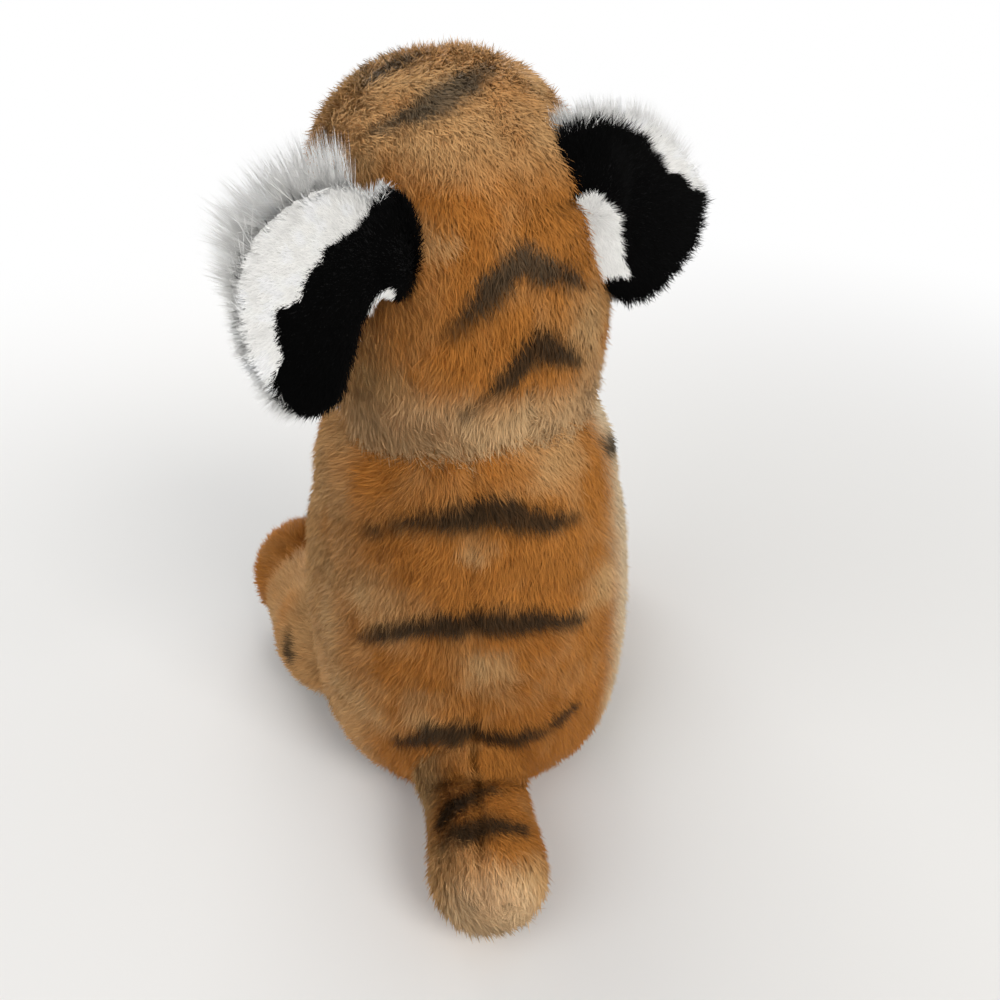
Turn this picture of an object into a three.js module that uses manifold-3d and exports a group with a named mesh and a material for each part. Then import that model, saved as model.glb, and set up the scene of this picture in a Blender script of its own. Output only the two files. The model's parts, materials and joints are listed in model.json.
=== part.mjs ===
// A stuffed plush tiger that sits upright, in millimetres with +Z up.
// It faces -Y, its own left side is +X, and the floor is the plane z = 0.
// Each stuffed form is a cover of short-pile plush around a loose fibre fill.
// The head turns and nods on the neck dome, and ears, legs and tail hang on round seams.

import * as THREE from 'three';
import { mergeVertices } from 'three/addons/utils/BufferGeometryUtils.js';
import Module from 'manifold-3d';

const wasm = await Module();
wasm.setup();

// Clearances
const gap = 0.35;
const turningGap = 0.4;
const swingGap = 1.1;
const overrun = 3;
const floorCut = 0.5;

// Plush cover, backing and pile together
const coverWall = 5;

// Body
const bodyWidth = 119;
const bodyDepth = 116;
const seatRadius = 42;
const seatPanelHeight = 9;
const bellyPanelWidth = 76;
const bodyRise = 118.5;
const domeRadius = 50;
const domeSetback = 9;

// Head, turned towards its own left at rest
const headTurnDegrees = 26;
const headWidth = 91;
const headDepth = 84;
const headRise = 128;
const neckThreadRadius = 1;
const neckThreadHeight = 28;

// Muzzle
const muzzleWidth = 52;
const muzzleDepth = 40;
const muzzleHeight = 33;
const muzzleLift = 57;
const muzzleWall = 4;
const chinWidth = 32;
const chinHeight = 20;

// Eyes, nose and their lock washers
const eyeRadius = 6.5;
const eyeDome = 4.5;
const eyeSeat = 2;
const eyeSpacing = 38;
const eyeLift = 84;
const stemRadius = 2;
const stemTail = 3;
const washerRadius = 6;
const washerThickness = 1.6;
const washerBed = 1;
const noseWidth = 19;
const noseHeight = 13;
const noseDepth = 10;
const noseSeat = 1.2;

// Ears
const earHeight = 54;
const earReach = 38.5;
const earThickness = 14;
const earBackThickness = 6;
const earHingeRadius = 7.6;
const earStandoff = 2.6;
const earSweepDegrees = 7;
const leftEarLift = 75;
const rightEarLift = 82;
const earSetback = 24;

// Front legs
const shoulderSpread = 68;
const shoulderLift = 112;
const shoulderRadius = 19;
const frontLegLength = 60;
const frontLegRadius = 15;
const frontPawRadius = 17;
const frontLegSlopeDegrees = 47;
const frontLegInwardDegrees = 3;

// Hind legs, with the hips slumped round a little so that the left haunch lies further back
const hipSpread = 91;
const hipAdvance = 31;
const hipTwistDegrees = 13;
const thighRadius = 28.5;
const shankRadius = 23;
const hindLegLength = 46;
const footWidth = 45;
const footHeight = 55;
const footDepth = 32;
const soleThickness = 5;
const leftSplayDegrees = 28;
const rightSplayDegrees = 14;

// Tail, lying on the floor and bent to its right
const tailRootSetback = 50;
const tailRootShift = 1.5;
const tailRootRadius = 22;
const tailWaistRadius = 19;
const tailBulbRadius = 19.5;
const tailLength = 57;
const tailSwingDegrees = 5;

// Bag of plastic pellets that weights the seat
const pouchWidth = 60;
const pouchDepth = 50;
const pouchHeight = 22;

// Facets round each form
const bodySides = 20;
const headSides = 16;
const limbSides = 12;
const innerSides = 10;
const smallSides = 8;
const fineSides = 24;

const colours = {
  tan: 0xb47d46,
  cream: 0xe6d3b1,
  white: 0xece8df,
  black: 0x1a1817,
  fibre: 0xf2efe8,
  pouch: 0xd9d4c8,
  thread: 0x6b4a2a,
  eye: 0x2b1a0c,
  nose: 0x7a4a44,
  washer: 0xdcdcd6,
};

const plush = { roughness: 0.95, metalness: 0 };
const plastic = { roughness: 0.25, metalness: 0 };
const dullPlastic = { roughness: 0.55, metalness: 0 };

const degrees = (angle) => THREE.MathUtils.degToRad(angle);
const mix = THREE.MathUtils.lerp;
const neckPivot = new THREE.Vector3(0, domeSetback, bodyRise);

// Solids from three.js geometry and back

function solid(geometry, matrix = new THREE.Matrix4()) {
  const bare = geometry.clone();
  bare.deleteAttribute('normal');
  bare.deleteAttribute('uv');
  bare.applyMatrix4(matrix);
  const merged = mergeVertices(bare);
  const corners = merged.index.array;
  const faces = [];
  for (let i = 0; i < corners.length; i += 3) {
    const [a, b, c] = [corners[i], corners[i + 1], corners[i + 2]];
    if (a !== b && b !== c && c !== a) {
      faces.push(a, b, c);
    }
  }
  const mesh = new wasm.Mesh({
    numProp: 3,
    vertProperties: new Float32Array(merged.attributes.position.array),
    triVerts: new Uint32Array(faces),
  });
  return new wasm.Manifold(mesh);
}

function geometryOf(body) {
  const mesh = body.getMesh();
  const geometry = new THREE.BufferGeometry();
  geometry.setAttribute('position', new THREE.BufferAttribute(mesh.vertProperties, 3));
  geometry.setIndex(new THREE.BufferAttribute(mesh.triVerts, 1));
  geometry.computeVertexNormals();
  return geometry;
}

// A cut can leave crumbs smaller than a gap's cube, which no cover has
function withoutCrumbs(body) {
  const lumps = body.decompose().filter((lump) => lump.volume() > gap ** 3);
  return lumps.reduce((whole, lump) => whole.add(lump));
}

function piece(name, body, color, finish) {
  const material = new THREE.MeshStandardMaterial({ color, ...finish });
  const mesh = new THREE.Mesh(geometryOf(withoutCrumbs(body)), material);
  mesh.name = name;
  return mesh;
}

// The same solid on the other side of the middle plane
function mirrored(body) {
  const geometry = geometryOf(body);
  geometry.scale(-1, 1, 1);
  const faces = geometry.index.array;
  for (let i = 0; i < faces.length; i += 3) {
    [faces[i], faces[i + 1]] = [faces[i + 1], faces[i]];
  }
  return solid(geometry);
}

const cutAll = (body, cutters) => cutters.reduce((rest, cutter) => rest.subtract(cutter), body);

// Places and unit shapes

function place(position, turn = new THREE.Euler(), scale = new THREE.Vector3(1, 1, 1)) {
  return new THREE.Matrix4().compose(position, new THREE.Quaternion().setFromEuler(turn), scale);
}

function ball(centre, halfSizes, sides = limbSides) {
  const unit = new THREE.SphereGeometry(1, sides, sides / 2);
  unit.rotateX(Math.PI / 2);
  return solid(unit, place(centre, new THREE.Euler(), halfSizes));
}

const roundBall = (centre, radius, sides) =>
  ball(centre, new THREE.Vector3(radius, radius, radius), sides);

// A socket whose flat facets all stay outside a ball of the given radius
function socket(centre, radius, sides = limbSides) {
  return roundBall(centre, radius / Math.cos(Math.PI / sides) ** 2, sides);
}

function block(low, high) {
  const size = high.clone().sub(low);
  const middle = high.clone().add(low).multiplyScalar(1 / 2);
  return solid(new THREE.BoxGeometry(size.x, size.y, size.z), place(middle));
}

// A rod from one point to another
function rod(start, end, radius, sides = limbSides) {
  const span = end.clone().sub(start);
  const geometry = new THREE.CylinderGeometry(radius, radius, span.length(), sides);
  const turn = new THREE.Quaternion().setFromUnitVectors(
    new THREE.Vector3(0, 1, 0),
    span.clone().normalize(),
  );
  const middle = start.clone().add(end).multiplyScalar(1 / 2);
  return solid(geometry, new THREE.Matrix4().compose(middle, turn, new THREE.Vector3(1, 1, 1)));
}

// A skin over level oval rings, each with its height, half width, back and front
function ringSkin(rings, sides, peak) {
  const points = [];
  const faces = [];
  for (const ring of rings) {
    const middle = (ring.back + ring.front) / 2;
    const half = (ring.back - ring.front) / 2;
    for (let i = 0; i < sides; i += 1) {
      const angle = (2 * Math.PI * i) / sides;
      points.push(ring.halfWidth * Math.cos(angle), middle + half * Math.sin(angle), ring.z);
    }
  }
  for (let r = 0; r + 1 < rings.length; r += 1) {
    for (let i = 0; i < sides; i += 1) {
      const next = (i + 1) % sides;
      const [a, b] = [r * sides + i, r * sides + next];
      faces.push(a, b, b + sides, a, b + sides, a + sides);
    }
  }
  const capEnd = (row, height, up) => {
    const centre = points.length / 3;
    points.push(0, (rings[row].back + rings[row].front) / 2, height);
    for (let i = 0; i < sides; i += 1) {
      const [a, b] = [row * sides + i, row * sides + ((i + 1) % sides)];
      faces.push(...(up ? [a, b, centre] : [b, a, centre]));
    }
  };
  capEnd(0, rings[0].z, false);
  capEnd(rings.length - 1, peak, true);
  const geometry = new THREE.BufferGeometry();
  geometry.setAttribute('position', new THREE.Float32BufferAttribute(points, 3));
  geometry.setIndex(faces);
  return geometry;
}

// Body: oval rings up to the neck pivot, then a round dome that the head sits on

// Height on the body, fullness from the seat's radius to the widest, and how far the dome takes over
const bodyRingShares = [
  { rise: 0, full: 0, blend: 0 },
  { rise: 0.035, full: 0.36, blend: 0 },
  { rise: 0.1, full: 0.67, blend: 0 },
  { rise: 0.22, full: 0.92, blend: 0 },
  { rise: 0.39, full: 1, blend: 0 },
  { rise: 0.58, full: 0.98, blend: 0.02 },
  { rise: 0.76, full: 0.93, blend: 0.2 },
  { rise: 0.9, full: 0.9, blend: 0.55 },
  { rise: 1, full: 0.9, blend: 1 },
];
const domeRows = 4;

// The row of a table of shares at a height, read along straight lines between its rows
function rowAt(table, rise) {
  const next = table.findIndex((row) => row.rise >= rise);
  const upper = table[next < 0 ? table.length - 1 : Math.max(next, 1)];
  const lower = table[table.indexOf(upper) - 1];
  const share = (rise - lower.rise) / (upper.rise - lower.rise);
  const names = Object.keys(upper);
  return Object.fromEntries(names.map((name) => [name, mix(lower[name], upper[name], share)]));
}

function bodyRing({ full, blend }, grow) {
  const reach = (half, top) => mix(mix(seatRadius, half, full), top, blend) + grow;
  return {
    halfWidth: reach(bodyWidth / 2, domeRadius),
    back: reach(bodyDepth / 2, domeSetback + domeRadius),
    front: -reach(bodyDepth / 2, domeRadius - domeSetback),
  };
}

function bodyForm(grow = 0, sides = grow < 0 ? innerSides : bodySides) {
  const rings = [];
  const bottom = -floorCut - grow;
  for (const row of bodyRingShares) {
    rings.push({ ...bodyRing(row, grow), z: mix(bottom, bodyRise, row.rise) });
  }
  for (let row = 1; row < domeRows; row += 1) {
    const angle = (Math.PI / 2) * (row / domeRows);
    const radius = (domeRadius + grow) * Math.cos(angle);
    rings.push({
      halfWidth: radius,
      back: domeSetback + radius,
      front: domeSetback - radius,
      z: bodyRise + (domeRadius + grow) * Math.sin(angle),
    });
  }
  return solid(ringSkin(rings, sides, bodyRise + domeRadius + grow));
}

// Limbs: a ball on the seam, then a tapering tube along local -Y with a round end

const ballArcShare = 0.62;
const ballSteps = 4;
const endSteps = 3;

function limbForm(ballRadius, stations, grow = 0, sides = grow < 0 ? innerSides : limbSides) {
  const profile = [];
  for (let step = 0; step <= ballSteps; step += 1) {
    const angle = Math.PI * ballArcShare * (step / ballSteps);
    const radius = ballRadius + grow;
    profile.push(new THREE.Vector2(radius * Math.sin(angle), -radius * Math.cos(angle)));
  }
  for (const station of stations) {
    profile.push(new THREE.Vector2(station.radius + grow, station.along));
  }
  const last = stations[stations.length - 1];
  const endRadius = last.radius + grow;
  const endReach = last.round + grow;
  for (let step = 1; step <= endSteps; step += 1) {
    const angle = (Math.PI / 2) * (step / endSteps);
    const radius = step === endSteps ? 0 : endRadius * Math.cos(angle);
    profile.push(new THREE.Vector2(radius, last.along + endReach * Math.sin(angle)));
  }
  profile[0].x = 0;
  const geometry = new THREE.LatheGeometry(profile, sides);
  geometry.rotateX(Math.PI);
  return geometry;
}

// The mouth that each sewn-on cover has towards the body, as a share of its seam's radius
const mouthShare = 0.55;

const aboveFloor = (reach) =>
  block(new THREE.Vector3(-reach, -reach, 0), new THREE.Vector3(reach, reach, reach));

// Hind legs

const hipHeight = thighRadius - floorCut;
const hipTwist = degrees(hipTwistDegrees);
const upright = new THREE.Vector3(0, 0, 1);
const hipAt = (x) => new THREE.Vector3(x, -hipAdvance, hipHeight).applyAxisAngle(upright, hipTwist);
const hips = { left: hipAt(hipSpread / 2), right: hipAt(-hipSpread / 2) };
const hindSplay = { left: degrees(leftSplayDegrees), right: -degrees(rightSplayDegrees) };

// Distances along the hind leg, and how far it has thinned from thigh to shank
const hindLegShares = { thigh: 0.36, thinned: 0.6, shank: 0.66, ankle: 0.8, end: 0.3 };

const hindStations = () => [
  {
    along: hindLegLength * hindLegShares.thigh,
    radius: mix(thighRadius, shankRadius, hindLegShares.thinned),
    round: 0,
  },
  { along: hindLegLength * hindLegShares.shank, radius: shankRadius, round: 0 },
  {
    along: hindLegLength,
    radius: shankRadius * hindLegShares.ankle,
    round: footDepth * hindLegShares.end,
  },
];

function hindForm(grow) {
  const leg = solid(limbForm(thighRadius, hindStations(), grow));
  const footCentre = new THREE.Vector3(0, -hindLegLength, footHeight / 2 - floorCut - hipHeight);
  const footHalf = new THREE.Vector3(
    footWidth / 2 + grow,
    footDepth / 2 + grow,
    footHeight / 2 + grow,
  );
  return leg.add(ball(footCentre, footHalf, innerSides));
}

function hindLeg(side) {
  const reach = bodyRise;
  const floor = block(
    new THREE.Vector3(-reach, -reach, -hipHeight),
    new THREE.Vector3(reach, reach, reach),
  );
  const innerFloor = block(
    new THREE.Vector3(-reach, -reach, coverWall - hipHeight),
    new THREE.Vector3(reach, reach, reach),
  );
  const fillFloor = block(
    new THREE.Vector3(-reach, -reach, coverWall + gap - hipHeight),
    new THREE.Vector3(reach, reach, reach),
  );
  const soleFace = -hindLegLength - footDepth / 2 + soleThickness;
  const beyond = (y) =>
    block(new THREE.Vector3(-reach, -reach, -reach), new THREE.Vector3(reach, y, reach));
  const inward = side === 'left' ? -1 : 1;
  const mouthAxis = new THREE.Vector3(inward, 1, 0).normalize();
  const mouth = rod(
    new THREE.Vector3(),
    mouthAxis.clone().multiplyScalar(thighRadius + overrun),
    thighRadius * mouthShare,
  );
  const outer = hindForm(0).intersect(floor);
  const inner = hindForm(-coverWall).intersect(innerFloor);
  const cover = outer.subtract(inner).subtract(mouth).subtract(beyond(soleFace));
  const fill = hindForm(-coverWall - gap).intersect(fillFloor).subtract(beyond(soleFace + gap));
  const sole = outer.intersect(beyond(soleFace - gap));
  const leg = new THREE.Group();
  leg.position.copy(hips[side]);
  leg.rotation.z = hindSplay[side];
  leg.add(piece(`${side}_hind_leg_cover`, cover, colours.tan, plush));
  leg.add(piece(`${side}_hind_leg_fill`, fill, colours.fibre, plush));
  leg.add(piece(`${side}_hind_sole`, sole, colours.cream, plush));
  return leg;
}

// Front legs

const shoulders = {
  left: new THREE.Vector3(shoulderSpread / 2, 0, shoulderLift),
  right: new THREE.Vector3(-shoulderSpread / 2, 0, shoulderLift),
};
const shoulderRing = bodyRing(rowAt(bodyRingShares, shoulderLift / bodyRise), 0);
const shoulderMiddle = (shoulderRing.back + shoulderRing.front) / 2;
const shoulderHalf = (shoulderRing.back - shoulderRing.front) / 2;
const shoulderShare = shoulderSpread / 2 / shoulderRing.halfWidth;
const shoulderFront = shoulderMiddle - shoulderHalf * Math.sqrt(1 - shoulderShare ** 2);
shoulders.left.y = shoulderFront;
shoulders.right.y = shoulderFront;

// Distances along the front leg, and how far it has thinned from shoulder to middle
const frontLegShares = { upper: 0.34, thinned: 0.7, middle: 0.58, paw: 0.82, end: 0.95 };

const frontStations = () => [
  {
    along: frontLegLength * frontLegShares.upper,
    radius: mix(shoulderRadius, frontLegRadius, frontLegShares.thinned),
    round: 0,
  },
  { along: frontLegLength * frontLegShares.middle, radius: frontLegRadius, round: 0 },
  {
    along: frontLegLength * frontLegShares.paw,
    radius: frontPawRadius,
    round: frontPawRadius * frontLegShares.end,
  },
];

function frontLegMatrix() {
  const turn = new THREE.Euler(
    degrees(frontLegSlopeDegrees),
    0,
    -degrees(frontLegInwardDegrees),
    'ZXY',
  );
  return place(shoulders.left, turn);
}

const frontForm = (grow) =>
  solid(limbForm(shoulderRadius, frontStations(), grow), frontLegMatrix());

// The left front leg, kept clear of the body everywhere but at its round seam
function frontInside(inset) {
  const seam = socket(shoulders.left, shoulderRadius - inset, inset > 0 ? limbSides : fineSides);
  return frontForm(-inset).subtract(bodyForm(swingGap + inset).subtract(seam));
}

function leftFrontLegSolids() {
  const mouthEnd = new THREE.Vector3(0, domeSetback, shoulderLift);
  const mouthAxis = mouthEnd.sub(shoulders.left).setLength(shoulderRadius + overrun);
  const mouth = rod(
    shoulders.left,
    shoulders.left.clone().add(mouthAxis),
    shoulderRadius * mouthShare,
    smallSides,
  );
  return {
    cover: cutAll(frontInside(0), [frontInside(coverWall), mouth]),
    fill: frontInside(coverWall + gap),
  };
}

function frontLegs() {
  const left = leftFrontLegSolids();
  const right = { cover: mirrored(left.cover), fill: mirrored(left.fill) };
  return Object.entries({ left, right }).flatMap(([side, { cover, fill }]) => [
    piece(`${side}_front_leg_cover`, cover, colours.tan, plush),
    piece(`${side}_front_leg_fill`, fill, colours.fibre, plush),
  ]);
}

// Tail

const tailPivot = new THREE.Vector3(tailRootShift, tailRootSetback, tailRootRadius - floorCut);

// Distances along the tail
const tailShares = { waist: 0.44, bulb: 0.68, end: 0.34 };
const tailDroop = Math.asin((tailRootRadius - tailBulbRadius) / (tailLength * tailShares.bulb));

const tailStations = () => [
  { along: tailLength * tailShares.waist, radius: tailWaistRadius, round: 0 },
  {
    along: tailLength * tailShares.bulb,
    radius: tailBulbRadius,
    round: tailLength * tailShares.end,
  },
];

function tailMatrix() {
  const turn = new THREE.Euler(tailDroop, 0, Math.PI + degrees(tailSwingDegrees), 'ZXY');
  return place(tailPivot, turn);
}

const tailForm = (grow) => solid(limbForm(tailRootRadius, tailStations(), grow), tailMatrix());

function tail() {
  const reach = bodyRise * 2;
  const floors = [0, coverWall, coverWall + gap].map((z) =>
    block(new THREE.Vector3(-reach, -reach, z), new THREE.Vector3(reach, reach, reach)),
  );
  const mouth = rod(
    tailPivot,
    tailPivot.clone().sub(new THREE.Vector3(0, tailRootRadius + overrun, 0)),
    tailRootRadius * mouthShare,
    smallSides,
  );
  const inner = tailForm(-coverWall).intersect(floors[1]);
  const cover = tailForm(0).intersect(floors[0]).subtract(inner).subtract(mouth);
  const fill = tailForm(-coverWall - gap).intersect(floors[2]);
  const group = new THREE.Group();
  group.add(piece('tail_cover', cover, colours.tan, plush));
  group.add(piece('tail_fill', fill, colours.fibre, plush));
  return group;
}

// Body covers, fill and pellet pouch

function seamSockets() {
  return [
    socket(hips.left, thighRadius + turningGap),
    socket(hips.right, thighRadius + turningGap),
    socket(shoulders.left, shoulderRadius + turningGap),
    socket(shoulders.right, shoulderRadius + turningGap),
    socket(tailPivot, tailRootRadius + turningGap),
  ];
}

const threadSteps = 6;
const threadSinkShare = 1.6;

function neckRing(grow) {
  const reach = Math.sqrt(domeRadius ** 2 - neckThreadHeight ** 2) - neckThreadRadius * threadSinkShare;
  const circle = [];
  for (let step = 0; step <= threadSteps; step += 1) {
    const angle = (2 * Math.PI * step) / threadSteps;
    const radius = neckThreadRadius + grow;
    circle.push(
      new THREE.Vector2(
        reach + radius * Math.cos(angle),
        neckThreadHeight + radius * Math.sin(angle),
      ),
    );
  }
  const geometry = new THREE.LatheGeometry(circle, bodySides);
  geometry.rotateX(Math.PI / 2);
  return solid(geometry, place(neckPivot));
}

const pouchSinkShare = 0.4;

function pouchForm(grow) {
  const centre = new THREE.Vector3(0, 0, coverWall + pouchHeight * pouchSinkShare);
  const half = new THREE.Vector3(
    pouchWidth / 2 + grow,
    pouchDepth / 2 + grow,
    pouchHeight / 2 + grow,
  );
  return ball(centre, half);
}

function bodyPieces() {
  const reach = bodyRise * 2;
  const sockets = seamSockets();
  const grooveGap = turningGap + domeRadius * (1 / Math.cos(Math.PI / bodySides) - 1);
  const shell = cutAll(bodyForm().subtract(bodyForm(-coverWall)), [...sockets, neckRing(grooveGap)])
    .intersect(aboveFloor(reach));
  const below = (z) =>
    block(new THREE.Vector3(-reach, -reach, -reach), new THREE.Vector3(reach, reach, z));
  const bellyHalf = bellyPanelWidth / 2;
  const bellySpace = (grow) =>
    block(
      new THREE.Vector3(-bellyHalf - grow, -reach, -reach),
      new THREE.Vector3(bellyHalf + grow, domeSetback + grow, reach),
    );
  const leftSpace = block(
    new THREE.Vector3(gap / 2, -reach, -reach),
    new THREE.Vector3(reach, reach, reach),
  );
  const rightSpace = block(
    new THREE.Vector3(-reach, -reach, -reach),
    new THREE.Vector3(-gap / 2, reach, reach),
  );
  const walls = shell.subtract(below(seatPanelHeight));
  const sides = walls.subtract(bellySpace(gap));
  const fillForm = bodyForm(-coverWall - gap);
  const fill = cutAll(fillForm, [...sockets, pouchForm(gap)]);
  const pouchFloor = coverWall + gap - floorCut;
  const pouch = cutAll(pouchForm(0), [below(pouchFloor), ...sockets]);
  return [
    piece('body_cover_left', sides.intersect(leftSpace), colours.tan, plush),
    piece('body_cover_right', sides.intersect(rightSpace), colours.tan, plush),
    piece('belly_panel', walls.intersect(bellySpace(0)), colours.cream, plush),
    piece('seat_panel', shell.intersect(below(seatPanelHeight - gap)), colours.tan, plush),
    piece('body_fill', fill, colours.fibre, plush),
    piece('pellet_pouch', pouch, colours.pouch, plush),
    piece('neck_thread', neckRing(0), colours.thread, dullPlastic),
  ];
}

// Head, in its own frame with the neck pivot at the origin

// Heights of the head's rings, and their half width, back and front
const headRingShares = [
  { rise: 0.156, width: 0.846, back: 0.9, front: 0.667 },
  { rise: 0.27, width: 0.912, back: 0.95, front: 0.786 },
  { rise: 0.387, width: 0.985, back: 0.976, front: 0.905 },
  { rise: 0.48, width: 1, back: 0.976, front: 0.976 },
  { rise: 0.582, width: 0.95, back: 0.94, front: 1 },
  { rise: 0.684, width: 0.912, back: 0.88, front: 1 },
  { rise: 0.777, width: 0.88, back: 0.774, front: 0.964 },
  { rise: 0.855, width: 0.81, back: 0.607, front: 0.88 },
  { rise: 0.918, width: 0.65, back: 0.38, front: 0.74 },
  { rise: 0.961, width: 0.46, back: 0.18, front: 0.57 },
  { rise: 0.99, width: 0.23, back: -0.024, front: 0.357 },
];

function headRing({ rise, width, back, front }) {
  return {
    halfWidth: (headWidth / 2) * width,
    back: (headDepth / 2) * back,
    front: -(headDepth / 2) * front,
    z: headRise * rise,
  };
}

const headRingAt = (height) => headRing(rowAt(headRingShares, height / headRise));

// The head's form, made larger or smaller all round by a thickness
function headForm(grow = 0, sides = grow < 0 ? innerSides : headSides) {
  const form = ringSkin(headRingShares.map(headRing), sides, headRise);
  const middle = headRise / 2;
  form.translate(0, 0, -middle);
  form.scale(1 + (2 * grow) / headWidth, 1 + (2 * grow) / headDepth, 1 + (2 * grow) / headRise);
  form.translate(0, 0, middle);
  return solid(form);
}

// The point on the face at a height and a sideways place, and the way it looks out
function facePoint(x, z) {
  const ring = headRingAt(z);
  const middle = (ring.back + ring.front) / 2;
  const half = (ring.back - ring.front) / 2;
  const y = middle - half * Math.sqrt(1 - (x / ring.halfWidth) ** 2);
  const out = new THREE.Vector3(x / ring.halfWidth ** 2, (y - middle) / half ** 2, 0).normalize();
  return { at: new THREE.Vector3(x, y, z), out };
}

const along = (point, direction, distance) => point.clone().addScaledVector(direction, distance);

// A button with its stem and the lock washer that holds it through a wall
function buttonCutters(point, out, buttonRadius, seatDepth, wall) {
  const washerFace = washerBed - wall;
  return {
    seat: rod(
      along(point, out, -seatDepth - gap),
      along(point, out, eyeDome + overrun),
      buttonRadius + gap,
    ),
    stem: rod(
      along(point, out, -wall - washerThickness - stemTail - gap),
      along(point, out, -seatDepth),
      stemRadius + gap,
      smallSides,
    ),
    washer: rod(
      along(point, out, washerFace - washerThickness - gap),
      along(point, out, washerFace + gap),
      washerRadius + gap,
    ),
  };
}

function buttonStem(point, out, seatDepth, wall) {
  return rod(
    along(point, out, -wall - washerThickness - stemTail),
    along(point, out, overrun - seatDepth),
    stemRadius,
    smallSides,
  );
}

function lockWasher(point, out, wall) {
  const face = washerBed - wall;
  const disc = rod(along(point, out, face - washerThickness), along(point, out, face), washerRadius);
  const bore = rod(
    along(point, out, face - washerThickness - overrun),
    along(point, out, face + overrun),
    stemRadius + gap,
    smallSides,
  );
  return disc.subtract(bore);
}

function eyeSolid(point, out) {
  const profile = [new THREE.Vector2(0, -eyeSeat), new THREE.Vector2(eyeRadius, -eyeSeat)];
  for (let step = 0; step <= domeRows; step += 1) {
    const angle = (Math.PI / 2) * (step / domeRows);
    const radius = step === domeRows ? 0 : eyeRadius * Math.cos(angle);
    profile.push(new THREE.Vector2(radius, eyeDome * Math.sin(angle)));
  }
  const turn = new THREE.Quaternion().setFromUnitVectors(new THREE.Vector3(0, 1, 0), out);
  const matrix = new THREE.Matrix4().compose(point, turn, new THREE.Vector3(1, 1, 1));
  const dome = solid(new THREE.LatheGeometry(profile, limbSides), matrix);
  return dome.add(buttonStem(point, out, eyeSeat, coverWall));
}

// Muzzle: a wide pad with the chin under it, open where it meets the face

const muzzleSinkShare = 0.12;
const chinDepthShare = 0.8;
const noseForwardShare = 0.9;
const noseLiftShare = 0.22;
const muzzleY = -(headDepth / 2) + muzzleDepth * muzzleSinkShare;
const muzzleCentre = new THREE.Vector3(0, muzzleY, muzzleLift);

function muzzleForm(grow) {
  const pad = ball(
    muzzleCentre,
    new THREE.Vector3(muzzleWidth / 2 + grow, muzzleDepth / 2 + grow, muzzleHeight / 2 + grow),
  );
  const chinCentre = new THREE.Vector3(0, muzzleY, muzzleLift - muzzleHeight / 2);
  const chinHalf = new THREE.Vector3(
    chinWidth / 2 + grow,
    (muzzleDepth * chinDepthShare) / 2 + grow,
    chinHeight / 2 + grow,
  );
  const chin = ball(chinCentre, chinHalf, smallSides);
  return pad.add(chin);
}

const nosePoint = new THREE.Vector3(
  0,
  muzzleY - (muzzleDepth / 2) * noseForwardShare,
  muzzleLift + muzzleHeight * noseLiftShare,
);
const noseOut = new THREE.Vector3(0, -1, 0);

function noseSolid() {
  const half = new THREE.Vector3(noseWidth / 2, noseDepth / 2, noseHeight / 2);
  const button = ball(nosePoint, half).subtract(noseBack(0));
  return button.add(buttonStem(nosePoint, noseOut, noseSeat, muzzleWall));
}

// Everything behind the flat back of the nose
function noseBack(grow) {
  const reach = muzzleWidth;
  return block(
    new THREE.Vector3(-reach, nosePoint.y + noseSeat + grow, nosePoint.z - reach),
    new THREE.Vector3(reach, nosePoint.y + reach, nosePoint.z + reach),
  );
}

function muzzlePieces(headWide) {
  const cutters = buttonCutters(nosePoint, noseOut, noseWidth / 2, noseSeat, muzzleWall);
  const noseHalf = new THREE.Vector3(
    noseWidth / 2 + gap,
    noseDepth / 2 + gap,
    noseHeight / 2 + gap,
  );
  const noseSpace = ball(nosePoint, noseHalf).subtract(noseBack(gap));
  const dome = socket(new THREE.Vector3(), domeRadius + turningGap, bodySides);
  const shared = [headWide, cutters.stem, cutters.washer, dome];
  const shell = muzzleForm(0).subtract(muzzleForm(-muzzleWall));
  const cover = cutAll(shell, [...shared, noseSpace]);
  const fill = cutAll(muzzleForm(-muzzleWall - gap), shared);
  return [
    piece('muzzle_cover', cover, colours.white, plush),
    piece('muzzle_fill', fill, colours.fibre, plush),
    piece('nose', noseSolid(), colours.nose, dullPlastic),
    piece('nose_washer', lockWasher(nosePoint, noseOut, muzzleWall), colours.washer, plastic),
  ];
}

// Ears: a rounded flap on a straight seam, black behind and white in front

const earRadius = earHeight / 2;
const earCentre = earReach - earRadius;
const earHingeHalf = Math.sqrt(earRadius ** 2 - earCentre ** 2);
const earLifts = { left: leftEarLift, right: rightEarLift };
const earRimShare = 0.62;
const earRows = 6;
const sideSign = { left: 1, right: -1 };

function earFrame(side) {
  const sign = sideSign[side];
  const ring = headRingAt(earLifts[side]);
  const middle = (ring.back + ring.front) / 2;
  const half = (ring.back - ring.front) / 2;
  const surface = ring.halfWidth * Math.sqrt(1 - ((earSetback - middle) / half) ** 2);
  const out = new THREE.Vector2(surface / ring.halfWidth ** 2, (earSetback - middle) / half ** 2);
  out.setLength(earStandoff);
  const hinge = new THREE.Vector3(sign * (surface + out.x), earSetback + out.y, earLifts[side]);
  const sweep = degrees(earSweepDegrees);
  const turn = sign > 0 ? sweep : Math.PI - sweep;
  return { hinge, turn, sign };
}

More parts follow.
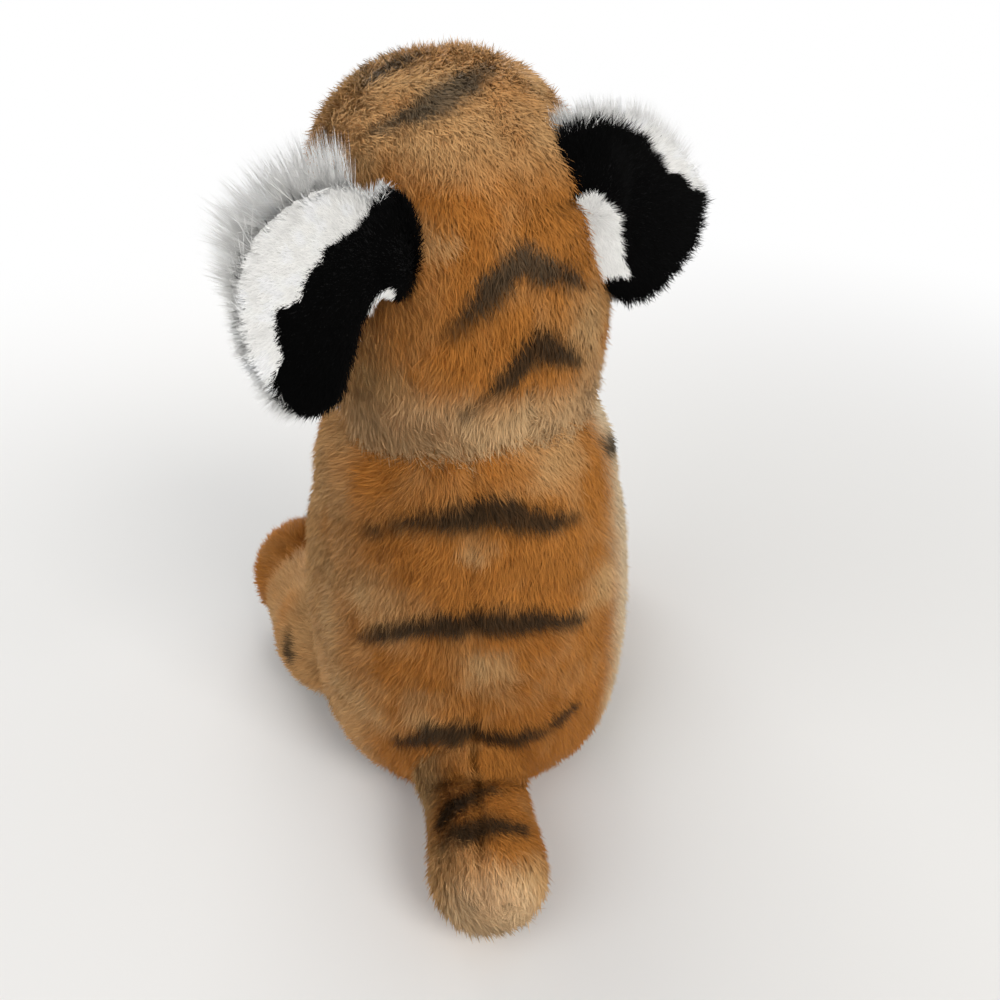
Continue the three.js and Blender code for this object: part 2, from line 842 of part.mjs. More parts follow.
// The flap lies in the local X and Z directions, and its back looks to local +Y on the left ear
function earForm() {
  const profile = [];
  for (let step = 0; step <= earRows; step += 1) {
    const angle = Math.PI * (step / earRows) - Math.PI / 2;
    const across = step === 0 || step === earRows ? 0 : mix(earRimShare, 1, Math.cos(angle));
    profile.push(new THREE.Vector2(across, Math.sin(angle) / 2));
  }
  const flap = new THREE.LatheGeometry(profile, headSides);
  flap.scale(earRadius, earThickness, earRadius);
  flap.translate(earCentre, 0, 0);
  const core = rod(
    new THREE.Vector3(0, 0, -earHingeHalf),
    new THREE.Vector3(0, 0, earHingeHalf),
    earHingeRadius,
  );
  const inside = block(
    new THREE.Vector3(-earHeight, -earHeight, -earHeight),
    new THREE.Vector3(0, earHeight, earHeight),
  );
  return solid(flap).subtract(inside).add(core);
}

function earGroove(side) {
  const { hinge } = earFrame(side);
  const half = new THREE.Vector3(0, 0, earHingeHalf + overrun);
  const radius = (earHingeRadius + turningGap) / Math.cos(Math.PI / limbSides);
  return rod(hinge.clone().sub(half), hinge.clone().add(half), radius);
}

function ear(side) {
  const { hinge, turn, sign } = earFrame(side);
  const split = (earThickness / 2 - earBackThickness) * sign;
  const reach = earHeight * 2;
  const behind = (edge) =>
    sign > 0
      ? block(new THREE.Vector3(-reach, edge, -reach), new THREE.Vector3(reach, reach, reach))
      : block(new THREE.Vector3(-reach, -reach, -reach), new THREE.Vector3(reach, edge, reach));
  const form = earForm();
  const back = form.intersect(behind(split + (sign * gap) / 2));
  const lining = form.subtract(behind(split - (sign * gap) / 2));
  const group = new THREE.Group();
  group.position.copy(hinge);
  group.rotation.z = turn;
  group.add(piece(`${side}_ear_back`, back, colours.black, plush));
  group.add(piece(`${side}_ear_lining`, lining, colours.white, plush));
  return group;
}

function headPieces() {
  const dome = socket(new THREE.Vector3(), domeRadius + turningGap, bodySides);
  const grooves = [earGroove('left'), earGroove('right')];
  const eyes = ['left', 'right'].map((side) => {
    const face = facePoint((sideSign[side] * eyeSpacing) / 2, eyeLift);
    return {
      side,
      ...face,
      cutters: buttonCutters(face.at, face.out, eyeRadius, eyeSeat, coverWall),
    };
  });
  const stems = eyes.flatMap(({ cutters }) => [cutters.stem, cutters.washer]);
  const shell = cutAll(headForm().subtract(headForm(-coverWall)), [
    dome,
    ...grooves,
    ...stems,
    ...eyes.map(({ cutters }) => cutters.seat),
  ]);
  const reach = headRise * 2;
  const half = (sign) => {
    const low = new THREE.Vector3(sign > 0 ? gap / 2 : -reach, -reach, -reach);
    const high = new THREE.Vector3(sign > 0 ? reach : -gap / 2, reach, reach);
    return block(low, high);
  };
  const fill = cutAll(headForm(-coverWall - gap), [dome, ...grooves, ...stems]);
  const pieces = [
    piece('head_cover_left', shell.intersect(half(1)), colours.tan, plush),
    piece('head_cover_right', shell.intersect(half(-1)), colours.tan, plush),
    piece('head_fill', fill, colours.fibre, plush),
  ];
  for (const { side, at, out } of eyes) {
    pieces.push(piece(`${side}_eye`, eyeSolid(at, out), colours.eye, plastic));
    pieces.push(
      piece(`${side}_eye_washer`, lockWasher(at, out, coverWall), colours.washer, plastic),
    );
  }
  return pieces;
}

function head() {
  const group = new THREE.Group();
  group.position.copy(neckPivot);
  group.rotation.z = degrees(headTurnDegrees);
  group.add(...headPieces());
  group.add(...muzzlePieces(headForm(gap)));
  group.add(ear('left'), ear('right'));
  return group;
}

const tiger = new THREE.Group();
tiger.add(...bodyPieces());
tiger.add(head());
tiger.add(...frontLegs());
tiger.add(hindLeg('left'), hindLeg('right'));
tiger.add(tail());

export default tiger;
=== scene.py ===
"""A sitting plush tiger, covered with pile piece by piece over its packed solids.

The row frame is in metres. The tiger faces -Y, its own left side is +X and the floor is z = 0.
Each stuffed form is a woven backing, the skin, with a pile of mesh strands grown on it.
"""

import json
import math

import bpy
import numpy as np
from bpy.props import FloatProperty, FloatVectorProperty, IntProperty, PointerProperty
from mathutils import Matrix, Vector
from mathutils.bvhtree import BVHTree


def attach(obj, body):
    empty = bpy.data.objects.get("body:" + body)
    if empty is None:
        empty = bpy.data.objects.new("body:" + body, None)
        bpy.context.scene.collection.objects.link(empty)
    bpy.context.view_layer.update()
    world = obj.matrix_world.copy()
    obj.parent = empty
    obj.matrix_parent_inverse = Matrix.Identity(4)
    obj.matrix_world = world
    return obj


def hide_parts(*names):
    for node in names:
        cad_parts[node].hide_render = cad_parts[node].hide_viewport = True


bl_info = {
    "name": "Plush Tiger",
    "version": (1, 0, 0),
    "blender": (4, 5, 0),
    "location": "View3D > Sidebar > Tiger",
    "description": "Builds a sitting plush tiger with stitched covers and a short pile",
    "category": "Object",
}

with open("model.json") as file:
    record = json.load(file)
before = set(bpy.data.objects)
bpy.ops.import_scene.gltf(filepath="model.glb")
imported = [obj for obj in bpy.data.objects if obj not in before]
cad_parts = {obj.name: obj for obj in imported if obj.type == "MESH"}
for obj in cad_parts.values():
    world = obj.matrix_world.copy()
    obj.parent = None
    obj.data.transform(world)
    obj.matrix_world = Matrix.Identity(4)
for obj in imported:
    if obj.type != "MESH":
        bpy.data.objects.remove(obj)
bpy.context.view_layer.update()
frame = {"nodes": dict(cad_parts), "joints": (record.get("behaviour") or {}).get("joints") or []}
MM = 0.001


def srgb(red, green, blue):
    """A display colour as linear numbers."""
    share = np.array([red, green, blue]) / 255
    return np.where(share <= 0.04045, share / 12.92, ((share + 0.055) / 1.055) ** 2.4)


COLOURS = {
    "tan": srgb(190, 124, 58),
    "pale_tan": srgb(214, 168, 114),
    "cream": srgb(236, 214, 180),
    "white": srgb(246, 245, 242),
    "stripe": srgb(54, 46, 36),
    "black": srgb(7, 7, 7),
}

# Pivots of the joints, in metres, and which side is which
PIVOTS = {joint["name"]: Vector(joint["pos_m"]) for joint in frame["joints"]}
NECK = PIVOTS["neck_turn"]
HEAD_TURN = math.radians(26)
HIND_SPLAY = {"left": math.radians(28), "right": math.radians(-14)}
SIDES = {"left": 1, "right": -1}

# Sizes of the stuffed forms in millimetres, as packed
SEAT_RADIUS = 42
BODY_WIDTH, BODY_DEPTH = 119, 116
DOME_RADIUS = 50
FLOOR_CUT = 0.5
HEAD_WIDTH, HEAD_DEPTH, HEAD_RISE = 91, 84, 128
NECK_RING_RADIUS, NECK_RING_RISE, NECK_THREAD_RADIUS = 35.9, 28, 0.9

# Limbs in millimetres: the radius of the ball on the seam, then stations along the limb, each a
# radius, a distance from the seam and the length of a round end
FRONT_LEG_BALL, HIND_LEG_BALL, TAIL_BALL = 19, 28.5, 22
FRONT_LEG_STATIONS = [(16.2, 20.4, 0), (15, 34.8, 0), (17, 49.2, 16.2)]
HIND_LEG_STATIONS = [(25.2, 16.6, 0), (23, 30.4, 0), (18.4, 46, 9.6)]
TAIL_STATIONS = [(19, 25.1, 0), (19.5, 38.8, 19.4)]
TAIL_TIP_RADIUS, TAIL_TIP_ALONG = 19.5, 38.76
FRONT_LEG_SLOPE, FRONT_LEG_INWARD = math.radians(47), math.radians(3)
TAIL_TURN = math.radians(185)

# The half width and height of the bare patch behind a sole, in millimetres
SOLE_OPENING = (14.5, 18.5)

# Ellipsoids in millimetres, each a middle and half sizes: the foot and its sole in the leg's frame,
# and the lobes of the muzzle and the nose in the head's
FOOT = ((0, -46, -1), (22.5, 16, 27.5))
SOLE = ((0, -57.2, -1), (15.5, 4, 19.5))
MUZZLE_LOBES = [
    ((10.5, -39, 59), (17, 18, 14)),
    ((-10.5, -39, 59), (17, 18, 14)),
    ((0, -38, 68), (10, 16, 12)),
    ((0, -36, 43), (15, 15, 10)),
]
NOSE = ((0, -55.2, 64.3), (9.5, 5, 6.5))

# Eyes and mouth in millimetres, in the head's frame. The mouth's line comes down from its top, parts
# and sags to both sides in stitches.
EYE_ASIDE, EYE_HEIGHT = 19, 84
EYE_RADIUS, EYE_BULGE, EYE_RIM, EYE_SUNK = 6.5, 4.5, 2, 0.6
MOUTH_TOP, MOUTH_PART, MOUTH_SAG, MOUTH_RISE = 60, 51.6, 2.9, 0.25
MOUTH_DOWN_STITCH, MOUTH_SIDE_STITCH = 1.2, 1.15
MOUTH_RADIUS, MOUTH_LIFT = 0.75, 1.6

# Ears in millimetres: both pads' half thickness, where each lies, how deep they cup and the root ball
EAR_HALF = 2.6
EAR_BACK_OFFSET, EAR_LINING_OFFSET = 2.6, -1.6
EAR_CUP, EAR_CUP_RADIUS, EAR_RIM_RADIUS = 2.4, 26, 24
EAR_ROOT = ((-4, 0, 12), (6.5, EAR_HALF + 2, 12.5))

# The pile in millimetres: its length, a strand's width, the depth from the backing to the tips, and
# the strands on a square millimetre
PILE_LENGTH, PILE_WIDTH, PILE_DEPTH = 5.6, 0.25, 2.4
PILE_DENSITY = 6.0

# The first seed of each piece's pile
SEEDS = {
    "body": 1, "head": 4, "muzzle": 7, "left_ear": 10, "right_ear": 20, "front_leg": 30, "hind_leg": 40,
    "sole": 50, "tail": 60,
}

# Depths of the hollows, folds and seams in the skins, in millimetres
CREASE_DEPTH = {"head_side": 4.5, "ear_dart": 1.4, "tail_waist": 3.2, "tail_fold": 1.6, "muzzle": 2.0}

# The least height of the skins and of the pile above the floor, in metres
SKIN_FLOOR, PILE_FLOOR = 0.6 * MM, 0.2 * MM

# Height on the body, fullness from the seat to the widest, and how far the neck dome takes over
BODY_SHARES = [
    (0, 0, 0), (0.035, 0.36, 0), (0.1, 0.67, 0), (0.22, 0.92, 0), (0.39, 1, 0),
    (0.58, 0.98, 0.02), (0.76, 0.93, 0.2), (0.9, 0.9, 0.55), (1, 0.9, 1),
]
# Heights of the head's rings, and their half width, back and front
HEAD_SHARES = [
    (0, 0.26, 0.38, 0.24), (0.062, 0.66, 0.71, 0.52), (0.156, 0.846, 0.9, 0.667),
    (0.27, 0.912, 0.95, 0.786), (0.387, 0.985, 0.976, 0.905), (0.48, 1, 0.976, 0.976),
    (0.582, 0.95, 0.94, 1), (0.684, 0.912, 0.88, 1), (0.777, 0.88, 0.774, 0.964),
    (0.855, 0.81, 0.607, 0.88), (0.918, 0.65, 0.38, 0.74), (0.961, 0.46, 0.18, 0.57),
    (0.99, 0.23, -0.024, 0.357), (1, 0.002, -0.166, 0.17),
]



def both_sides(stripes):
    """Stripes, and the same ones mirrored to the other side."""
    return [
        ([(sign * x, y, z) for x, y, z in path], width, widest)
        for path, width, widest in stripes
        for sign in SIDES.values()
    ]


# Printed stripes in millimetres: points on the outer surface, the greatest width and where it is
BODY_STRIPES = [
    ([
        (31, 47, 124.5), (17, 53, 131), (4, 56, 134), (-9, 55, 134.5), (-21, 52, 129), (-33, 44, 126),
    ], 10, 0.6),
    ([(37, 45, 80), (22, 53, 90), (8, 57, 95), (-6, 57, 95), (-20, 54, 92), (-38, 44, 84)], 11, 0.6),
    ([(28, 51, 36), (14, 56, 46), (4, 58, 48), (-1, 58, 46)], 12, 0.6),
    ([(0, 58, 46), (-10, 57, 42), (-24, 53, 40)], 9, 0.35),
    ([(-25, 52, 42), (-30, 50, 44), (-36, 46, 46)], 7, 0.5),
    ([(-40, 28, 142), (-43, 24, 138), (-46, 16, 134), (-47, 8, 131)], 8, 0.5),
    *both_sides([
        ([(54, 8, 106), (55, -4, 104), (53, -18, 100)], 8, 0.5),
        ([(58, 4, 66), (58, -8, 64), (55, -20, 60)], 9, 0.5),
    ]),
]
HEAD_STRIPES = [
    ([(24, -7, 121), (15, -6, 125), (5, -7, 127)], 6.5, 0.5),
    ([
        (29, 9, 112), (23, 11, 115), (17, 13, 117), (12, 12, 118.5), (6, 10, 120.5), (-1, 7, 122),
        (-9, 3, 124),
    ], 8.5, 0.62),
    ([
        (23, 34, 66), (18, 36, 71), (12, 37, 76), (7, 38, 81), (2, 38, 85), (-6, 38, 80.5), (-22, 34, 73),
    ], 9, 0.62),
    ([
        (18, 37, 45), (12, 39, 49), (7, 40, 53), (3, 41, 58), (-2, 41, 62), (-8, 41, 60), (-18, 38, 54),
    ], 9, 0.62),
    ([(-7, -32, 112), (-3, -36, 105), (0, -39, 100), (3, -36, 105), (7, -32, 112)], 4.5, 0.5),
    ([(-14, -30, 108), (-6, -38, 98), (0, -41, 93), (6, -38, 98), (14, -30, 108)], 4.5, 0.5),
    ([(-22, -14, 121), (-10, -20, 123), (0, -22, 124), (10, -20, 123), (22, -14, 121)], 6, 0.5),
    *both_sides([
        ([(44, -4, 74), (43, -14, 71), (39, -23, 70)], 7, 0.4),
        ([(45, 2, 58), (44, -10, 54), (40, -20, 54)], 7, 0.4),
    ]),
]
TAIL_STRIPES = [
    ([(18, 76, 30), (13, 75, 35), (6, 73, 39), (-2, 70, 40), (-11, 68, 36)], 11, 0.3),
    ([(18, 85, 31), (11, 86, 37), (4, 86, 39), (-5, 85, 39), (-14, 84, 34)], 9.5, 0.42),
]
LEG_STRIPES = [
    ([(-27, -6, 8), (-24, -5, 16), (-18, -4, 22)], 10, 0.5),
    ([(27, 10, -1), (26.5, 9, 6), (24, 6, 12)], 8, 0.5),
]
ARM_STRIPES = [
    ([(-16, -18, 0), (-11, -18, 12), (0, -18, 17), (11, -18, 12), (16, -18, 0)], 7, 0.5),
    ([(-15, -33, 0), (-10, -33, 11), (0, -33, 15), (10, -33, 11), (15, -33, 0)], 7, 0.5),
]

# Soft pale patches in millimetres: a middle and a radius
BODY_PALE = [
    ((33, 47, 98), 24), ((43, 40, 50), 26), ((-2, 57, 122), 8), ((-5, 57, 75), 12), ((18, 55, 54), 13),
    ((-27, 41, 145), 16), ((-44, 36, 92), 14),
]
HEAD_PALE = [
    ((-22, 6, 119), 24), ((4, 22, 112), 14), ((26, 0, 118), 14), ((24, 29, 90), 7),
    ((-24, 34, 62), 17), ((38, 20, 50), 14), ((-40, 18, 62), 18), ((34, 8, 104), 18),
]

# The outlines of the ears and of the dyed patches on their backs, in millimetres along the reach
# and up from the middle of the hinge. hair holds the long hair's length, its strands on a square
# millimetre and the back pile's share of length at the rim. Long hair starts between the two places
# of hair_from.
EARS = {
    "left": {
        "turn": HEAD_TURN + math.radians(7),
        "middle": (14, 5),
        "outline": [
            (-6, 12), (-4, 19), (0, 24), (5, 27.5), (13, 27.8), (21, 25.5), (29, 21), (33, 15.5),
            (35.3, 9.5), (36.3, 1.5), (34.6, -8), (30, -18), (25, -24.5), (19.5, -26.5), (14, -24),
            (9.5, -12), (7.5, -5), (2, 1), (-2, 3),
        ],
        "black": [
            (-14, 30), (0.5, 24), (5.2, 19.9), (14.7, 16), (21.2, 10.1), (22.8, 5.6), (28, 5.3),
            (29.7, 0.9), (28.9, -6.9), (31, -14.3), (29.8, -20.2), (24, -34), (-14, -34),
        ],
        "spot": [(-1, 3), (2, 1.5), (4.5, -2), (2, -4), (-3, 0)],
        "hair": (14, 18, 0.7),
        "hair_from": (2, 8),
    },
    "right": {
        "turn": HEAD_TURN + math.radians(180 - 7),
        "middle": (5, 4),
        "outline": [
            (-18, 25), (-14, 27.5), (-7, 28.5), (0.5, 28.5), (7, 27), (13, 24), (18.5, 19.5), (22.5, 15),
            (26, 11), (29, 7), (28.8, 1), (27, -6.5), (23.2, -12), (17.3, -17.5), (11.3, -20.8), (4, -20.6),
            (-2, -16), (-7, -10), (-12, 2), (-16, 12),
        ],
        "black": [
            (-24, 27), (-14.6, 28), (-7.2, 28.5), (0.8, 27), (6.8, 24.2), (10.3, 20), (14.4, 14.8),
            (18.7, 13.9), (22.8, 9.8), (33, 7.5), (36, -10), (30, -34), (-24, -34),
        ],
        "spot": [
            (-17, 8), (-9.9, 11), (-5, 8.5), (-0.5, 4), (0.5, -3.3), (4.6, -12), (-0.7, -12), (-9, -14),
            (-15, -4),
        ],
        "hair": (8.5, 18, 0.9),
        "hair_from": (-18, -12),
    },
}

# Soft boxes, each a place, a target, a side and a power, in metres and watts, and a colour
LAMPS = {
    "key": ((-0.5, 0.72, 0.82), (0, 0, 0.1), 0.5, 6.2, (1, 0.98, 0.95)),
    "fill": ((0.6, 0.5, 0.7), (0, 0, 0.1), 0.8, 3, (0.95, 0.97, 1)),
    "front": ((0.2, -0.8, 0.6), (0, 0, 0.12), 0.8, 4.5, (1, 1, 1)),
}
FLOOR_HALF = 3
FLOOR_FADE = (0.2, 0.75)
STUDIO_LIGHT = 0.42

# The camera's lens and sensor, its direction, and its place in millimetres
LENS, SENSOR = 30.96, 36
AZIMUTH, PITCH = math.radians(176), math.radians(-33)
CAMERA_ASIDE, CAMERA_BACK, CAMERA_HEIGHT = -12, 256, 268


# Forms: a list of corners and a list of faces, in metres


def merge(*forms):
    """Several forms as one."""
    corners, faces = [], []
    for points, polygons in forms:
        start = len(corners)
        corners += [tuple(p) for p in points]
        faces += [tuple(i + start for i in polygon) for polygon in polygons]
    return corners, faces


def moved(form, matrix):
    return [tuple(matrix @ Vector(p)) for p in form[0]], form[1]


def blended(a, b, share):
    return a + (b - a) * share


def body_rows():
    """The body's rings: oval up to the neck, then a round dome that the head sits on."""
    rise, setback = NECK.z / MM, NECK.y / MM
    rows = []
    for height, full, dome in BODY_SHARES:
        halves = [blended(SEAT_RADIUS, half / 2, full) for half in (BODY_WIDTH, BODY_DEPTH, BODY_DEPTH)]
        tops = (DOME_RADIUS, DOME_RADIUS + setback, DOME_RADIUS - setback)
        z = blended(-FLOOR_CUT, rise, height)
        rows.append((z, *(blended(half, top, dome) for half, top in zip(halves, tops))))
    for share in (0.17, 0.33, 0.5, 0.67, 0.83, 0.98):
        radius = DOME_RADIUS * math.cos(share * math.pi / 2)
        z = rise + DOME_RADIUS * math.sin(share * math.pi / 2)
        rows.append((z, radius, radius + setback, radius - setback))
    return rows


def head_rows():
    """The head's rings, in its own frame with the neck pivot at the origin."""
    return [
        (HEAD_RISE * rise, HEAD_WIDTH / 2 * width, HEAD_DEPTH / 2 * back, HEAD_DEPTH / 2 * front)
        for rise, width, back, front in HEAD_SHARES
    ]


def eased_rows(rows, between=5):
    """More rows between the given ones, on a smooth curve through them all."""
    table = np.array(rows, float)
    last = len(table) - 1
    eased = []
    for k in range(last * between + 1):
        i, t = min(k // between, last - 1), k / between - min(k // between, last - 1)
        a, b, c, d = (table[min(max(i + n, 0), last)] for n in (-1, 0, 1, 2))
        eased.append(b + 0.5 * t * (c - a + t * (2 * a - 5 * b + 4 * c - d + t * (3 * (b - c) + d - a))))
    return eased


def ring_form(rows, columns=72):
    """A closed form over level oval rings, each a height, half width, back and front in millimetres."""
    corners = []
    for z, half_width, back, front in np.array(eased_rows(rows)) * MM:
        middle, half = (back - front) / 2, (back + front) / 2
        for i in range(columns):
            a = 2 * math.pi * i / columns
            corners.append((half_width * math.cos(a), middle + half * math.sin(a), z))
    return corners, rolled_faces(len(corners) // columns, columns)


def rolled_faces(rows, columns):
    """Faces between closed rows of corners, with a cap on both ends."""
    faces = []
    for low in range(0, (rows - 1) * columns, columns):
        for i in range(columns):
            j = (i + 1) % columns
            faces.append((low + i, low + j, low + columns + j, low + columns + i))
    faces.append(tuple(reversed(range(columns))))
    faces.append(tuple(range((rows - 1) * columns, rows * columns)))
    return faces


def pad_form(outline, middle, half, rings=8):
    """A flat pad with a rounded rim in the XZ plane, from its outline in millimetres."""
    corners = []
    heights = [math.cos(math.pi * k / (2 * rings)) for k in range(1, 2 * rings)]
    for height in heights:
        spread = math.sqrt(1 - height**2)
        for x, z in outline:
            point = (blended(middle[0], x, spread), half * height, blended(middle[1], z, spread))
            corners.append(tuple(c * MM for c in point))
    return corners, rolled_faces(len(heights), len(outline))


def lathe_form(profile, columns=40):
    """A closed form turned about the -Y line. The profile holds a radius and a distance along it."""
    rows = [(max(r, 0.02) * MM, -d * MM) for r, d in profile]
    corners = []
    for radius, y in rows:
        for i in range(columns):
            a = 2 * math.pi * i / columns
            corners.append((radius * math.cos(a), y, radius * math.sin(a)))
    return corners, rolled_faces(len(rows), columns)


def ball_form(centre, halves, columns=32, rows=18):
    """An ellipsoid from its centre and half sizes in millimetres."""
    angles = [math.pi * k / rows for k in range(rows + 1)]
    corners, faces = lathe_form([(math.sin(a) / MM, -math.cos(a) / MM) for a in angles], columns)
    corners = [
        tuple((c + p * h) * MM for c, p, h in zip(centre, point, halves)) for point in corners
    ]
    return corners, faces


def limb_profile(ball, stations, steps=8):
    """A ball on the seam, then a tapering tube with a round end, as radii and distances."""
    ball_end = math.pi * 0.62
    profile = []
    for k in range(steps + 1):
        a = ball_end * k / steps
        profile.append((ball * math.sin(a), -ball * math.cos(a)))
    profile += [(radius, along) for radius, along, _ in stations]
    radius, along, round_end = stations[-1]
    for k in range(1, steps + 1):
        a = math.pi / 2 * k / steps
        profile.append((radius * math.cos(a), along + round_end * math.sin(a)))
    return profile


# Meshes


def new_object(name, form):
    mesh = bpy.data.meshes.new(name)
    mesh.from_pydata(form[0], [], form[1])
    mesh.polygons.foreach_set("use_smooth", [True] * len(mesh.polygons))
    mesh.update()
    made = bpy.data.objects.new(name, mesh)
    bpy.context.scene.collection.objects.link(made)
    return made


def baked(obj):
    """The object's mesh with its modifiers applied and removed."""
    bpy.context.view_layer.update()
    evaluated = obj.evaluated_get(bpy.context.evaluated_depsgraph_get())
    mesh = bpy.data.meshes.new_from_object(evaluated)
    obj.modifiers.clear()
    old = obj.data
    obj.data = mesh
    mesh.name = obj.name
    bpy.data.meshes.remove(old)
    mesh.polygons.foreach_set("use_smooth", [True] * len(mesh.polygons))
    return obj


def vectors_of(collection, field):
    found = np.empty(len(collection) * 3, np.float32)
    collection.foreach_get(field, found)
    return found.reshape(-1, 3).astype(float)


def points_of(mesh):
    return vectors_of(mesh.vertices, "co")


def normals_of(mesh):
    return vectors_of(mesh.vertex_normals, "vector")


def set_points(mesh, points):
    mesh.vertices.foreach_set("co", points.astype(np.float32).ravel())
    mesh.update()


def put(mesh, name, kind, values):
    """Stores one value for each vertex under a name."""
    attribute = mesh.attributes.get(name) or mesh.attributes.new(name, kind, "POINT")
    field = {"FLOAT": "value", "FLOAT_VECTOR": "vector", "FLOAT_COLOR": "color"}[kind]
    attribute.data.foreach_set(field, np.asarray(values, np.float32).ravel())


def read(mesh, name, width):
    field = {1: "value", 3: "vector"}[width]
    found = np.empty(len(mesh.vertices) * width, np.float32)
    mesh.attributes[name].data.foreach_get(field, found)
    return found.reshape(-1, width).astype(float)


def unit(vectors):
    return vectors / np.maximum(np.linalg.norm(vectors, axis=1, keepdims=True), 1e-9)


def step(value, low, high):
    """A smooth rise from 0 at low to 1 at high."""
    t = np.clip((value - low) / (high - low), 0, 1)
    return t * t * (3 - 2 * t)


def mixed(a, b, share):
    share = np.asarray(share, float)
    return a * (1 - share[:, None]) + b * share[:, None]


def ripple(points, scale, shift=0):
    """Smooth noise from -1 to 1 with features of that size in metres."""
    place = points / scale + 100 + 7.3 * shift
    cell = np.floor(place).astype(np.int64)
    t = place - cell
    t = t * t * (3 - 2 * t)
    total = np.zeros(len(points))
    for corner in np.ndindex(2, 2, 2):
        mark = ((cell + corner) @ np.array([73856093, 19349663, 83492791])) & 0xFFFFFFFF
        mark = ((mark ^ (mark >> 13)) * 1274126177) & 0xFFFFFFFF
        mark = ((mark ^ (mark >> 16)) & 0xFFFF) / 0x8000 - 1
        total += mark * np.prod(np.where(corner, t, 1 - t), axis=1)
    return total


def to_local(points, origin, turn):
    """Points in a frame at origin, turned about Z, in millimetres."""
    c, s = math.cos(turn), math.sin(turn)
    q = points - np.array(origin)
    return np.stack([c * q[:, 0] + s * q[:, 1], -s * q[:, 0] + c * q[:, 1], q[:, 2]], 1) / MM


def in_head(points):
    """Points in the head's frame, with the neck pivot at the origin, in millimetres."""
    return to_local(points, NECK, HEAD_TURN)


def turned(vectors, turn):
    """Vectors from a frame turned about Z, in the row frame."""
    c, s = math.cos(turn), math.sin(turn)
    v = np.asarray(vectors, float)
    return np.stack([c * v[:, 0] - s * v[:, 1], s * v[:, 0] + c * v[:, 1], v[:, 2]], 1)


def ridge(across, width):
    """A soft ridge of height 1 along a line, from the distance across it."""
    return np.exp(-((across / width) ** 2))


def dyed(points, stripes):
    """How much of the stripes' dye each point has, from 0 to 1. All is in millimetres."""
    found = np.zeros(len(points))
    blur, end_share = 2.6, 0.25
    ragged = 1.2 * ripple(points, 3, 2) + 0.9 * ripple(points, 8, 3)
    for path, width, widest in stripes:
        path = np.array(path, float)
        skew = math.log(0.5) / math.log(widest)
        for i in range(len(path) - 1):
            a, d = path[i], path[i + 1] - path[i]
            t = np.clip(((points - a) @ d) / (d @ d), 0, 1)
            away = np.linalg.norm(points - a - t[:, None] * d, axis=1)
            share = (i + t) / (len(path) - 1)
            half = width / 2 * (end_share + (1 - end_share) * np.sin(np.pi * share**skew) ** 0.7)
            found = np.maximum(found, 1 - step(away - half + ragged, -blur, blur))
    return found * (0.93 + 0.07 * ripple(points, 0.7, 4))


# Materials


def new_material(name, values):
    """A material, its tree and its shader, whose sockets are set by their names."""
    material = bpy.data.materials.new(name)
    material.use_nodes = True
    shader = material.node_tree.nodes["Principled BSDF"]
    for socket, value in values.items():
        shader.inputs[socket].default_value = value
    return material, material.node_tree, shader


def attribute_node(tree, name):
    node = tree.nodes.new("ShaderNodeAttribute")
    node.attribute_name = name
    return node


def math_node(tree, operation, *values):
    """The output of a Math node. Each value is a number or another node's output."""
    node = tree.nodes.new("ShaderNodeMath")
    node.operation = operation
    for socket, value in zip(node.inputs, values):
        if isinstance(value, (int, float)):
            socket.default_value = value
        else:
            tree.links.new(value, socket)
    return node.outputs[0]


def scaled_colour(tree, colour, factor):
    """A colour multiplied by a number from another node."""
    node = tree.nodes.new("ShaderNodeVectorMath")
    node.operation = "SCALE"
    tree.links.new(colour, node.inputs[0])
    tree.links.new(factor, node.inputs["Scale"])
    return node.outputs[0]


def grain_bump(tree, shader, scale, depth, strength):
    """Fine noise that roughens the surface by a depth in metres. Gives the noise."""
    grain = tree.nodes.new("ShaderNodeTexNoise")
    grain.inputs["Scale"].default_value = scale
    coordinates = tree.nodes.new("ShaderNodeTexCoord")
    tree.links.new(coordinates.outputs["Object"], grain.inputs["Vector"])
    bump = tree.nodes.new("ShaderNodeBump")
    bump.inputs["Strength"].default_value = strength
    bump.inputs["Distance"].default_value = depth
    tree.links.new(grain.outputs["Fac"], bump.inputs["Height"])
    tree.links.new(bump.outputs[0], shader.inputs["Normal"])
    return grain.outputs["Fac"]


def pile_material():
    """Short pile: dyed by its root's place, darker at the root, each strand a little different."""
    material, tree, shader = new_material("pile", {
        "Roughness": 0.55,
        "Specular IOR Level": 0.4,
        "Sheen Weight": 0.2,
        "Sheen Roughness": 0.4,
    })
    rise = attribute_node(tree, "rise").outputs["Fac"]
    tone = attribute_node(tree, "tone").outputs["Fac"]
    # Painted shade: each strand is darker at its root, where the pile shades itself, and lighter towards the
    # tip.
    root_shade, tip_lift = 0.84, 0.24
    least_tone, tone_range = 0.92, 0.16
    lift = math_node(tree, "MULTIPLY_ADD", rise, tip_lift, root_shade)
    vary = math_node(tree, "MULTIPLY_ADD", tone, tone_range, least_tone)
    coat = attribute_node(tree, "coat")
    colour = scaled_colour(tree, coat.outputs["Color"], math_node(tree, "MULTIPLY", lift, vary))
    for socket in ("Base Color", "Specular Tint", "Sheen Tint"):
        tree.links.new(colour, shader.inputs[socket])
    turn = tree.nodes.new("ShaderNodeVectorTransform")
    turn.vector_type, turn.convert_from, turn.convert_to = "NORMAL", "OBJECT", "WORLD"
    tree.links.new(attribute_node(tree, "lie").outputs["Vector"], turn.inputs[0])
    tree.links.new(turn.outputs[0], shader.inputs["Normal"])
    return material


